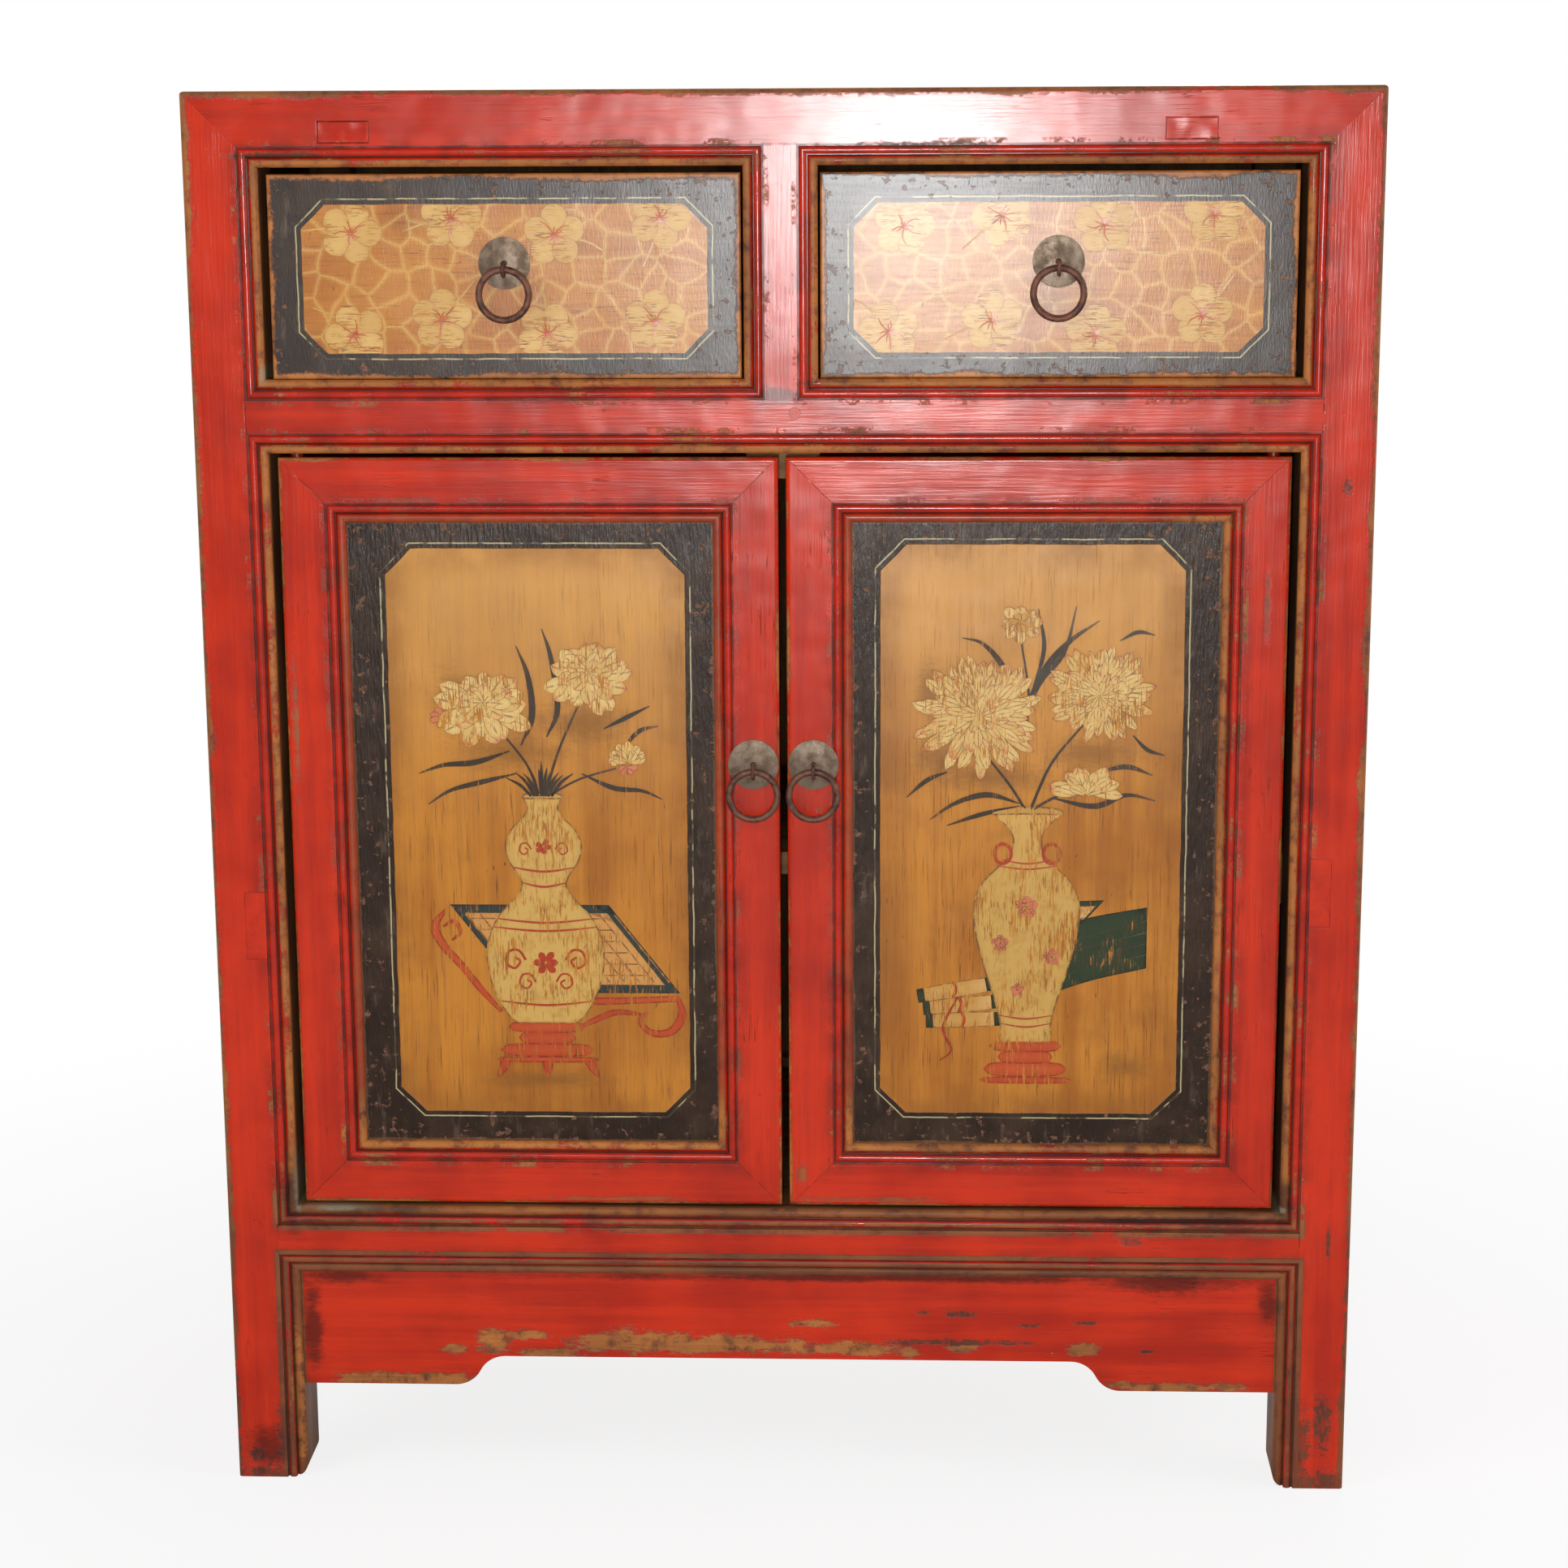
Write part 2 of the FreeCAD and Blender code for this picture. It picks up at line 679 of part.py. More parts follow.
def side_rail(label, side, z, front_tenon, panel_below, holds_floor):
    rail = new_body(label, f"{-side} * width / 2", "front_y", z)
    outline = turned(section("stock", "side_rail", "arris", "arris"), 1, side, True)
    pad(rail, "y", "stock", "depth - 2 * stock", outline)
    tenons = rectangle(
        "side_tenon_set", "side_tenon_set + tenon_thick", f"stock - {front_tenon}", "depth - stock + side_tenon"
    )
    pad(rail, "z", "side_shoulder", "stock - 2 * side_shoulder", turned(tenons, side))
    panel_slot = turned(rectangle("panel_inset", "panel_inset + panel_thick", "stock", "depth - stock"), side)
    cut(rail, "z", "stock - groove", "groove", panel_slot)
    if panel_below:
        cut(rail, "z", "0", "groove", panel_slot)
    if holds_floor:
        slot = turned(rectangle("side_rail - groove", "side_rail", "stock", "depth - stock"), side)
        cut(rail, "z", "floor_z", "floor_thick", slot)
    return rail


low_rails = [
    side_rail("bottom_rail_left", 1, "leg", "side_tenon", False, True),
    side_rail("bottom_rail_right", -1, "leg", "side_tenon", False, True),
]
keep(gather("bottom_rails_side", low_rails))
middle_rails = [
    side_rail("shelf_rail_of_left_side", 1, "shelf_rail_left", "stock", True, False),
    side_rail("shelf_rail_of_right_side", -1, "shelf_rail_right", "stock", True, False),
]
keep(gather("shelf_rails", middle_rails))


def rear_rail(label, z, panel_below, holds_floor):
    rail = new_body(label, "0", "rear_y", z)
    outline = turned(section("stock", "rear_rail", "square", "square"), 1, -1, True)
    pad(rail, "x", "-opening / 2", "opening", outline)
    reach = "opening / 2 + tenon_length"
    tenons = rectangle(f"-({reach})", reach, "tenon_set", "tenon_set + tenon_thick")
    pad(rail, "z", "shoulder", "stock - 2 * shoulder", turned(tenons, 1, -1))
    panel_slot = rectangle("-opening / 2", "opening / 2", "panel_inset", "panel_inset + panel_thick")
    panel_slot = turned(panel_slot, 1, -1)
    cut(rail, "z", "stock - groove", "groove", panel_slot)
    if panel_below:
        cut(rail, "z", "0", "groove", panel_slot)
    if holds_floor:
        slot = turned(rectangle("-opening / 2", "opening / 2", "rear_rail - groove", "rear_rail"), 1, -1)
        cut(rail, "z", "floor_z", "floor_thick", slot)
    return keep(rail)


rear_rail("drawer_rail_rear", "drawer_rail_z", True, False)
rear_rail("bottom_rail_rear", "leg", False, True)


# Panels and boards


def side_panel(label, side, low, high):
    inner, outer = "width / 2 - panel_inset - panel_thick", "width / 2 - panel_inset"
    x = (f"-({outer})", f"-({inner})") if side > 0 else (inner, outer)
    y = ("front_y + stock - panel_bite", "rear_y - stock + panel_bite")
    return box(label, x, y, (f"{low} - panel_bite", f"{high} + panel_bite"))


panels = []
for name, side in (("left", 1), ("right", -1)):
    rail = "shelf_rail_" + name
    panels.append(side_panel(f"side_panel_{name}_lower", side, "doors_z", rail))
    panels.append(side_panel(f"side_panel_{name}_upper", side, f"{rail} + stock", "top_rail_z"))
keep(gather("side_panels", panels))

across = ("-(opening / 2 + panel_bite)", "opening / 2 + panel_bite")
behind = ("rear_y - panel_inset - panel_thick", "rear_y - panel_inset")
backs = [
    box("back_panel_lower", across, behind, ("doors_z - panel_bite", "drawer_rail_z + panel_bite")),
    box("back_panel_upper", across, behind, ("drawers_z - panel_bite", "top_rail_z + panel_bite")),
]
keep(gather("back_panels", backs))

# The floor board lies in grooves of the bottom rails and is notched round the posts.
floor_board = new_body("floor_board", "0", "front_y", "leg + floor_z")
side_x, post_x = "width / 2 - side_rail + panel_bite", "opening / 2"
front, rear = "stock - panel_bite", "depth - rear_rail + panel_bite"
right_half = [
    (post_x, front), (post_x, "stock"), (side_x, "stock"),
    (side_x, "depth - stock"), (post_x, "depth - stock"), (post_x, rear),
]
left_half = [(f"-({x})", y) for x, y in reversed(right_half)]
pad(floor_board, "z", "0", "floor_thick", right_half + left_half)
keep(floor_board)

inside = "width / 2 - side_rail"
shelf_z = "shelf_rail_left + stock"
shelf_y = ("front_y + shelf_front", "rear_y - stock")
shelf_x = (f"-({inside} - shelf_play)", f"{inside} - shelf_play")
keep(box("shelf_board", shelf_x, shelf_y, (shelf_z, f"{shelf_z} + shelf_thick")))
ledger_z = (f"{shelf_z} - ledger", shelf_z)
ledgers = [
    box("ledger_left", (f"-({inside})", f"ledger - ({inside})"), shelf_y, ledger_z),
    box("ledger_right", (f"{inside} - ledger", inside), shelf_y, ledger_z),
]
keep(gather("shelf_ledgers", ledgers))


# Runners, guides and stops

runner_y = ("front_y + stock", "front_y + stock + runner_length")
runner_z = ("drawers_z - runner_height", "drawers_z")
guide_z = ("drawers_z", "drawers_z + guide_height")
guide_side = "drawer_gap_outer + drawer_side_set - guide_play"
guide_middle = "stock / 2 + drawer_gap_inner + drawer_side_set - guide_play"
runners = [
    box("runner_left", ("-opening / 2", "runner_width - opening / 2"), runner_y, runner_z),
    box("runner_centre", ("-centre_runner / 2", "centre_runner / 2"), runner_y, runner_z),
    box("runner_right", ("opening / 2 - runner_width", "opening / 2"), runner_y, runner_z),
]
keep(gather("drawer_runners", runners))
guides = [
    box("guide_left", ("-opening / 2", f"{guide_side} - opening / 2"), runner_y, guide_z),
    box("guide_centre", (f"-({guide_middle})", guide_middle), runner_y, guide_z),
    box("guide_right", (f"opening / 2 - ({guide_side})", "opening / 2"), runner_y, guide_z),
]
keep(gather("drawer_guides", guides))

stops = []
stop_front = "front_y + drawer_recess + drawer_front + stop_gap"
for side in (-1, 1):
    for hand in (-1, 1):
        middle = f"{side} * drawer_middle + {hand} * stop_spread"
        stops.append(box(
            "drawer_stop",
            (f"{middle} - stop_width / 2", f"{middle} + stop_width / 2"),
            (stop_front, f"{stop_front} + stop_depth"),
            ("drawers_z", "drawers_z + stop_height"),
        ))
door_back = "front_y + door_recess + door_thick + stop_gap"
stops.append(box(
    "door_stop",
    ("-door_stop_width / 2", "door_stop_width / 2"),
    (door_back, f"{door_back} + stop_depth"),
    ("drawer_rail_z - door_stop_drop", "drawer_rail_z"),
))
keep(gather("stop_blocks", stops))


# Aprons

apron = new_body("apron_front", "0", "front_y + apron_recess", "leg")
curve_radius = "(arch_half_run * arch_half_run + arch_half_rise * arch_half_rise) / (2 * arch_half_rise)"
low, high = "-apron_end", "apron_arch - apron_end"
bend = ("arch_half + arch_half_run", "arch_half_rise - apron_end")
right_edge = [
    ("arch_half", high, curve_radius, -1),
    (*bend, curve_radius, 1),
    ("arch_half + arch_curve", low),
    ("opening / 2", low),
    ("opening / 2", "0"),
]
left_edge = [
    ("-opening / 2", "0"),
    ("-opening / 2", low),
    ("-(arch_half + arch_curve)", low, curve_radius, 1),
    (f"-({bend[0]})", bend[1], curve_radius, -1),
    ("-arch_half", high),
]
pad(apron, "y", "0", "apron_thick", right_edge + left_edge)
keep(apron)

side_aprons = []
for name, side in (("left", -1), ("right", 1)):
    start, length = span(side, "width / 2 - apron_recess - apron_thick", "width / 2 - apron_recess")
    x = (start, f"{start} + {length}")
    y = ("front_y + stock", "rear_y - stock")
    side_aprons.append(box(f"apron_{name}", x, y, ("leg - side_apron", "leg")))
keep(gather("aprons_side", side_aprons))


# Doors. Places on a door run inwards from its outer edge, back from its face and up from its lower edge.


def door_body(label, side):
    x = f"{-side} * (opening / 2 - door_side_gap)"
    return new_body(label, x, "front_y + door_recess", "doors_z + door_bottom_gap")


def door_mortises(stile, side, near, far):
    """Takes the tenons of both rails in the stile's inner edge, which lies at near."""
    slot = rectangle(near, far, "door_tenon_set", "door_tenon_set + door_tenon_thick")
    for z in ("door_shoulder", "door_height - member + door_shoulder"):
        cut(stile, "z", z, "member - 2 * door_shoulder", turned(slot, side))


def door_stile(label, side, outer):
    stile = door_body(label, side)
    kinds = ("arris", "moulded") if outer else ("moulded", "arris")
    start = "0" if outer else "door_width - member"
    plan = [(f"{start} + {x}", *rest) for x, *rest in section("member", "door_thick", *kinds)]
    pad(stile, "z", "0", "door_height", turned(plan, side))
    edge, inner = ("0", "member") if outer else ("door_width", "door_width - member")
    lower = [(edge, "0"), (inner, "0"), (inner, "member")]
    upper = [(edge, "door_height"), (inner, "door_height"), (inner, "door_height - member")]
    cut(stile, "y", "0", "mitre_layer", turned(lower, side), turned(upper, side))
    sign = 1 if outer else -1
    door_mortises(stile, side, inner, f"{inner} - {sign} * door_tenon_length")
    slot = rectangle(
        inner, f"{inner} - {sign} * groove", "door_panel_set", "door_panel_set + door_panel_thick"
    )
    cut(stile, "z", "member - groove", "door_height - 2 * (member - groove)", turned(slot, side))
    if outer:
        pin = (f"{side} * pivot_set", "door_thick / 2", "pivot_radius")
        pad(stile, "z", "-(door_bottom_gap + pivot_bite)", "door_bottom_gap + pivot_bite", pin)
        pad(stile, "z", "door_height", "door_top_gap + pivot_bite", pin)
    else:
        hole = (f"{side} * (door_width - door_pull_inset)", "door_height / 2 + door_pull_rise")
        cut(stile, "y", "0", "door_thick", (*hole, "shank + drill_play"))
    return keep(stile)


def door_rail(label, side, upper):
    rail = door_body(label, side)
    kinds = ("moulded", "arris") if upper else ("arris", "moulded")
    start = "door_height - member" if upper else "0"
    profile = [(f"{start} + {z}", y, *arc) for z, y, *arc in section("member", "door_thick", *kinds)]
    low, length = span(side, "0", "door_width")
    pad(rail, "x", low, length, turned(profile, swap=True))
    edge, inner = ("door_height", "door_height - member") if upper else ("0", "member")
    near = [("0", edge), ("0", inner), ("member", inner)]
    far = [(f"door_width - ({x})", z) for x, z in near]
    cut(rail, "y", "0", "mitre_layer", turned(near, side), turned(far, side))
    ends = (("0", "member"), ("door_width - member", "door_width"))
    for low, high in ends:
        cut(rail, "z", start, "member", turned(rectangle(low, high, "mitre_layer", "door_thick"), side))
    tenons = rectangle(
        "member - door_tenon_length", "door_width - member + door_tenon_length",
        "door_tenon_set", "door_tenon_set + door_tenon_thick",
    )
    pad(rail, "z", f"{start} + door_shoulder", "member - 2 * door_shoulder", turned(tenons, side))
    slot = rectangle("member", "door_width - member", "door_panel_set", "door_panel_set + door_panel_thick")
    groove_z = "door_height - member" if upper else "member - groove"
    cut(rail, "z", groove_z, "groove", turned(slot, side))
    return keep(rail)


def door_box(label, side, x, y, z):
    """A block of a door, between pairs of places."""
    edge = "opening / 2 - door_side_gap"
    outer, inner = f"{edge} - ({x[0]})", f"{edge} - ({x[1]})"
    across = (f"-({outer})", f"-({inner})") if side > 0 else (inner, outer)
    deep = tuple(f"front_y + door_recess + {place}" for place in y)
    up = tuple(f"doors_z + door_bottom_gap + {place}" for place in z)
    return box(label, across, deep, up)


def door(name, side):
    door_stile(f"door_{name}_outer_stile", side, True)
    door_stile(f"door_{name}_inner_stile", side, False)
    door_rail(f"door_{name}_top_rail", side, True)
    door_rail(f"door_{name}_bottom_rail", side, False)
    rim = "member - panel_bite"
    panel_back = "door_panel_set + door_panel_thick"
    keep(door_box(
        f"door_{name}_panel", side,
        (rim, f"door_width - ({rim})"), ("door_panel_set", panel_back), (rim, f"door_height - ({rim})"),
    ))
    bars = []
    for share in BATTEN_SHARES:
        middle = f"{share} * door_height"
        bars.append(door_box(
            f"door_{name}_batten", side,
            ("member", "door_width - member"), (panel_back, "door_thick"),
            (f"{middle} - door_batten / 2", f"{middle} + door_batten / 2"),
        ))
    keep(gather(f"door_{name}_battens", bars))


door("left", 1)
door("right", -1)


# Drawers. Places on a drawer run inwards from its outer edge, back from its face and up from its lower edge.


def drawer_body(label, side):
    x = f"{-side} * (opening / 2 - drawer_gap_outer)"
    return new_body(label, x, "front_y + drawer_recess", "drawers_z + drawer_float")


def drawer_box(label, side, x, y, z):
    """A block of a drawer, between pairs of places."""
    edge = "opening / 2 - drawer_gap_outer"
    outer, inner = f"{edge} - ({x[0]})", f"{edge} - ({x[1]})"
    across = (f"-({outer})", f"-({inner})") if side > 0 else (inner, outer)
    deep = tuple(f"front_y + drawer_recess + {place}" for place in y)
    up = tuple(f"drawers_z + drawer_float + {place}" for place in z)
    return box(label, across, deep, up)


def front_rim(shape):
    """Name of the face that looks forwards."""
    for index, face in enumerate(shape.Faces, start=1):
        if face.normalAt(0, 0).y < -0.9:
            return f"Face{index}"
    raise ValueError("no face looks forwards")


def drawer(name, side):
    front = drawer_body(f"drawer_{name}_front", side)
    board = pad(front, "y", "0", "drawer_front", turned(rectangle("0", "drawer_width", "0", "drawer_height"), side))
    doc.recompute()
    rounding = front.newObject("PartDesign::Fillet", front.Name + "_fillet")
    rounding.Base = (board, [front_rim(board.Shape)])
    rounding.setExpression("Radius", bind("drawer_arris"))
    doc.recompute()
    slot = rectangle(
        "drawer_inside - drawer_groove", "drawer_width - drawer_inside + drawer_groove",
        "drawer_front - drawer_groove", "drawer_front",
    )
    cut(front, "z", "drawer_bottom_rise", "drawer_bottom", turned(slot, side))
    hole = (f"{side} * drawer_width / 2", "drawer_height / 2 + drawer_pull_rise", "shank + drill_play")
    cut(front, "y", "0", "drawer_front", hole)
    keep(front)

    walls = []
    grooved = [
        ("drawer_side_set", "0"),
        ("drawer_inside", "0"),
        ("drawer_inside", "drawer_bottom_rise"),
        ("drawer_inside - drawer_groove", "drawer_bottom_rise"),
        ("drawer_inside - drawer_groove", "drawer_bottom_rise + drawer_bottom"),
        ("drawer_inside", "drawer_bottom_rise + drawer_bottom"),
        ("drawer_inside", "drawer_side_height"),
        ("drawer_side_set", "drawer_side_height"),
    ]
    for hand in ("outer", "inner"):
        wall = drawer_body(f"drawer_{name}_{hand}_side", side)
        outline = grooved if hand == "outer" else [(f"drawer_width - ({x})", z) for x, z in grooved]
        pad(wall, "y", "drawer_front", "drawer_length", turned(outline, side))
        walls.append(wall)
    keep(gather(f"drawer_{name}_sides", walls))

    top_of_bottom = "drawer_bottom_rise + drawer_bottom"
    rear = "drawer_front + drawer_length"
    keep(drawer_box(
        f"drawer_{name}_back", side,
        ("drawer_inside", "drawer_width - drawer_inside"), (f"{rear} - drawer_side", rear),
        (top_of_bottom, "drawer_side_height"),
    ))
    keep(drawer_box(
        f"drawer_{name}_bottom", side,
        ("drawer_inside - drawer_groove", "drawer_width - drawer_inside + drawer_groove"),
        ("drawer_front - drawer_groove", rear), ("drawer_bottom_rise", top_of_bottom),
    ))


drawer("left", 1)
drawer("right", -1)


# Pulls: a round plate, a staple whose eye stands upright, and a ring that hangs in the eye


def pull(name, x, y, z, board):
    """A pull on a board of the given thickness, with its plate's middle at x, y and z."""
    plate = new_body(f"{name}_plate", x, y, z)
    hole = "shank + drill_play"
    rise = "plate_thick - plate_rim"
    crown = f"(plate_radius * plate_radius + ({rise}) * ({rise})) / (2 * ({rise}))"
    profile = [
        ("0", hole),
        ("0", "plate_radius"),
        ("-plate_rim", "plate_radius", crown, 1),
        ("-plate_thick", hole),
    ]
    sketch = new_sketch(plate, "x", "0", [profile])
    disc = plate.newObject("PartDesign::Revolution", plate.Name + "_revolution")
    disc.Profile = sketch
    disc.ReferenceAxis = (sketch, ["H_Axis"])
    keep(plate)

    eye_y, eye_z = f"{y} - eye_reach", f"{z} - eye_drop"
    board_back = f"{y} + {board}"
    pieces = [
        torus(f"{name}_eye", "eye_radius", "eye_wire", "x", x, eye_y, eye_z),
        cylinder(f"{name}_shank", "shank", x, (f"{y} - plate_thick - eye_hole", board_back), z),
        box(
            f"{name}_clench",
            (f"{x} - clench_length / 2", f"{x} + clench_length / 2"),
            (board_back, f"{board_back} + clench"),
            (f"{z} - clench", f"{z} + clench"),
        ),
    ]
    staple = doc.addObject("Part::MultiFuse", f"{name}_staple")
    staple.Label = f"{name}_staple"
    staple.Shapes = pieces
    keep(staple)
    keep(torus(f"{name}_ring", "ring_radius", "ring_wire", "y", x, eye_y, f"{eye_z} - ring_radius"))


for name, sign in (("left", -1), ("right", 1)):
    drawer_z = "drawers_z + drawer_float + drawer_height / 2 + drawer_pull_rise"
    pull(f"drawer_{name}_pull", f"{sign} * drawer_middle", "front_y + drawer_recess", drawer_z, "drawer_front")
    door_x = f"{sign} * (door_meeting_gap / 2 + door_pull_inset)"
    door_z = "doors_z + door_bottom_gap + door_height / 2 + door_pull_rise"
    pull(f"door_{name}_pull", door_x, "front_y + door_recess", door_z, "door_thick")


# Checks and files

doc.recompute()
for thing in doc.Objects:
    if "Invalid" in thing.State or "Error" in thing.State:
        raise RuntimeError(f"{thing.Label} did not compute")
    if thing.TypeId == "PartDesign::Pocket":
        taken = thing.BaseFeature.Shape.Volume - thing.Shape.Volume
        if taken <= 0:
            raise RuntimeError(f"{thing.Label} takes nothing away")
for label, thing in sub_parts.items():
    if thing.Shape.isNull() or not thing.Shape.isValid() or not thing.Shape.Solids:
        raise RuntimeError(f"{label} has no sound shape")

os.makedirs("parts", exist_ok=True)
for label, thing in sub_parts.items():
    thing.Shape.exportStep(f"parts/{label}.step")
print(len(sub_parts), "sub-parts")
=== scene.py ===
# %% [markdown]
# # A painted cabinet in red lacquer
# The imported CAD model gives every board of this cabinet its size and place. This lesson dresses it in worn red
# lacquer, paints flowers and vases on its doors and drawers, and gives its pulls their tarnish and rust.

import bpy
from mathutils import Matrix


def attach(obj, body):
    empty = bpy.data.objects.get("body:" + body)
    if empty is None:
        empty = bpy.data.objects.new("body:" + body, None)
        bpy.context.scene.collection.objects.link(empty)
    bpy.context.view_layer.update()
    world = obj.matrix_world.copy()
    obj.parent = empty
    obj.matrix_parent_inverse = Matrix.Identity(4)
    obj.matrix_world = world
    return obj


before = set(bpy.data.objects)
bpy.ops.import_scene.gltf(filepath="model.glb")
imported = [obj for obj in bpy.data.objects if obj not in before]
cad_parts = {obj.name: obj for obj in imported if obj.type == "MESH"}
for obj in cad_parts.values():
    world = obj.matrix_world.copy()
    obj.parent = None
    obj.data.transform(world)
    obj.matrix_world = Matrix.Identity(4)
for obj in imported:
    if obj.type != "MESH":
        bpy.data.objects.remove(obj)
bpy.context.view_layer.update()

# %% Python tools and the cabinet's main places, in millimetres
import functools
import math
import random

import bpy
from mathutils import Matrix, Vector

MM = 0.001
FRONT = -205.5  # flat front of the posts and rails
REAR = 214.5
HEIGHT = 986
HALF_WIDTH = 400
HALF_OPENING = 350
MOULDING = 14
LEG, DOORS, DRAWER_RAIL, DRAWERS, TOP_RAIL = 157, 207, 745, 795, 936  # levels of the front's openings and rails
DOOR_FACE = -199.5
PANEL_FACE = -192.5
DRAWER_FACE = -201.5
DRAWER_MIDDLE = 185.5
DOOR_MIDDLE = 173.6

# %% [markdown]
# ## The camera
# The camera stands where the photographer stood: a little right of the middle, at the height of the top, looking
# down a little. Its place and turn come from the cabinet's straight edges, fitted to the photograph. A small
# upward shift keeps the cabinet in the same part of the picture.

# %% Camera
def camera_turn(yaw, pitch, roll):
    """Axes of a camera that looks along +Y, turned left by yaw, down by pitch and then rolled, in degrees."""
    yaw, pitch, roll = (math.radians(v) for v in (yaw, pitch, roll))
    forward = Vector((-math.sin(yaw) * math.cos(pitch), math.cos(yaw) * math.cos(pitch), -math.sin(pitch)))
    level = Vector((math.cos(yaw), math.sin(yaw), 0))
    upward = level.cross(forward)
    right = level * math.cos(roll) + upward * math.sin(roll)
    top = upward * math.cos(roll) - level * math.sin(roll)
    return Matrix((right, top, -forward)).transposed()


bpy.ops.object.camera_add(location=(0.0945, -2.4553, 0.9856))
camera = bpy.context.object
camera.rotation_euler = camera_turn(2.396, 12.648, -0.321).to_euler()
camera.data.sensor_width = 36
camera.data.lens = 76.44
camera.data.shift_y = 0.0331
bpy.context.scene.camera = camera
print("camera", camera.location[:], "lens", camera.data.lens)

# %% [markdown]
# ## A way to lay out shader nodes
# A finish is a small graph of nodes. Here the output of a node is a wire. Wires are added, multiplied and faded
# like numbers, and each step adds the node that works it out, so that a graph reads like a short sum. `paint`
# turns the 0 to 255 numbers of a colour picker into what the shader needs.

# %% Wires and nodes
def join(value, socket):
    """Joins a wire to an input, or sets the input to a plain value."""
    if isinstance(value, Wire):
        value.tree.links.new(value.socket, socket)
    elif value is not None:
        socket.default_value = value


def new_node(kind, *values, tree=None, **named):
    """Adds a node to its wires' tree. Values go to inputs in order, and named ones to an input or a setting."""
    wires_in = [value for value in (*values, *named.values()) if isinstance(value, Wire)]
    nodes = (tree or wires_in[0].tree).nodes
    made = nodes.new(kind if kind.startswith("NodeGroup") else "ShaderNode" + kind)
    for name, value in named.items():
        if name in made.inputs:
            join(value, made.inputs[name])
        else:
            setattr(made, name, value)
    for value, socket in zip(values, made.inputs):
        join(value, socket)
    return made


def node(kind, *values, output=0, **named):
    """Adds a node and gives one of its outputs as a wire."""
    return Wire(new_node(kind, *values, **named).outputs[output])


def wires(made):
    return [Wire(socket) for socket in made.outputs]


def calculate(operation, *values):
    """One step of a sum, on vectors where one of the values is a vector."""
    vectors = any(isinstance(v, tuple) or isinstance(v, Wire) and v.socket.type == "VECTOR" for v in values)
    result = "Value" if operation == "LENGTH" else 0
    return node("VectorMath" if vectors else "Math", *values, operation=operation, output=result)


class Wire:
    """One output of a node, which sums can be made with."""

    def __init__(self, socket):
        self.socket, self.tree = socket, socket.id_data

    def __add__(self, other):
        return calculate("ADD", self, other)

    def __sub__(self, other):
        return calculate("SUBTRACT", self, other)

    def __rsub__(self, other):
        return calculate("SUBTRACT", other, self)

    def __mul__(self, other):
        return calculate("MULTIPLY", self, other)

    def __truediv__(self, other):
        return calculate("DIVIDE", self, other)

    def __abs__(self):
        return calculate("ABSOLUTE", self)

    def fade(self, low, high):
        """0 at low and 1 at high, with a soft change between them. Low may be the larger one."""
        return node("MapRange", self, low, high, interpolation_type="SMOOTHSTEP")

    def noise(self, scale, detail=2.0, roughness=0.55):
        """Soft noise from 0 to 1 whose largest spots are about one over scale millimetres."""
        return node("TexNoise", Vector=self, Scale=scale, Detail=detail, Roughness=roughness)


print("wires ready")

# %% Masks and colours
def most(*masks):
    return functools.reduce(lambda a, b: calculate("MAXIMUM", a, b), masks)


def least(*distances):
    return functools.reduce(lambda a, b: calculate("MINIMUM", a, b), distances)


def mix(share, first, second):
    """First colour at share 0, second at share 1. A Mix node's colours are its seventh and eighth input."""
    return node("Mix", share, *[None] * 5, first, second, data_type="RGBA", output=2)


def layers(colour, *coats):
    """Lays colours over a colour, each by its own mask."""
    for share, coat in coats:
        colour = mix(share, colour, coat)
    return colour


def split(place):
    return wires(new_node("SeparateXYZ", place))


def paint(red, green, blue):
    """A colour picker's 0 to 255 numbers as a linear colour."""

    def linear(v):
        v /= 255
        return v / 12.92 if v <= 0.04045 else ((v + 0.055) / 1.055) ** 2.4

    return (linear(red), linear(green), linear(blue), 1.0)


print("masks and colours ready")

# %% Groups and materials
def shader_group(drawn):
    """Makes a function of wires a node group. Its annotations say the kinds of the inputs and the outputs."""
    kinds = dict(drawn.__annotations__)
    results = kinds.pop("return")
    tree = bpy.data.node_groups.new(drawn.__name__, "ShaderNodeTree")
    for way, sockets in (("INPUT", kinds), ("OUTPUT", results)):
        for label, kind in sockets.items():
            tree.interface.new_socket(label, in_out=way, socket_type="NodeSocket" + kind)
    ends = drawn(*wires(new_node("NodeGroupInput", tree=tree))[:len(kinds)])
    new_node("NodeGroupOutput", *(ends if len(results) > 1 else [ends]))
    print("shader group", tree.name, "makes", *results)

    def use(*values):
        made = wires(new_node("Group", *values, node_tree=tree))
        return made if len(made) > 1 else made[0]

    return use


def new_material(name):
    """An empty material, and the wire of a point's place in the cabinet at rest, in millimetres."""
    made = bpy.data.materials.new(name)
    made.use_nodes = True
    made.node_tree.nodes.clear()
    print("material", name)
    return made, node("TexCoord", tree=made.node_tree, output="Object") * (1000, 1000, 1000)


def finish(colour, roughness, height, relief=0.0003, metallic=0.0, coat=0.0, coat_roughness=0.2):
    """Ends a material with one Principled shader. Height is in units of relief, which is in metres."""
    values = {
        "Base Color": colour, "Roughness": roughness, "Metallic": metallic, "Coat Weight": coat,
        "Coat Roughness": coat_roughness, "Normal": node("Bump", Height=height, Distance=relief),
    }
    new_node("OutputMaterial", node("BsdfPrincipled", **values))


def rays_of(tree):
    """Masks of the rays straight from the camera, and of those by way of a mirror or glass."""
    rays = new_node("LightPath", tree=tree).outputs
    return Wire(rays["Is Camera Ray"]), most(Wire(rays["Is Glossy Ray"]), Wire(rays["Is Transmission Ray"]))


print("groups and materials ready")

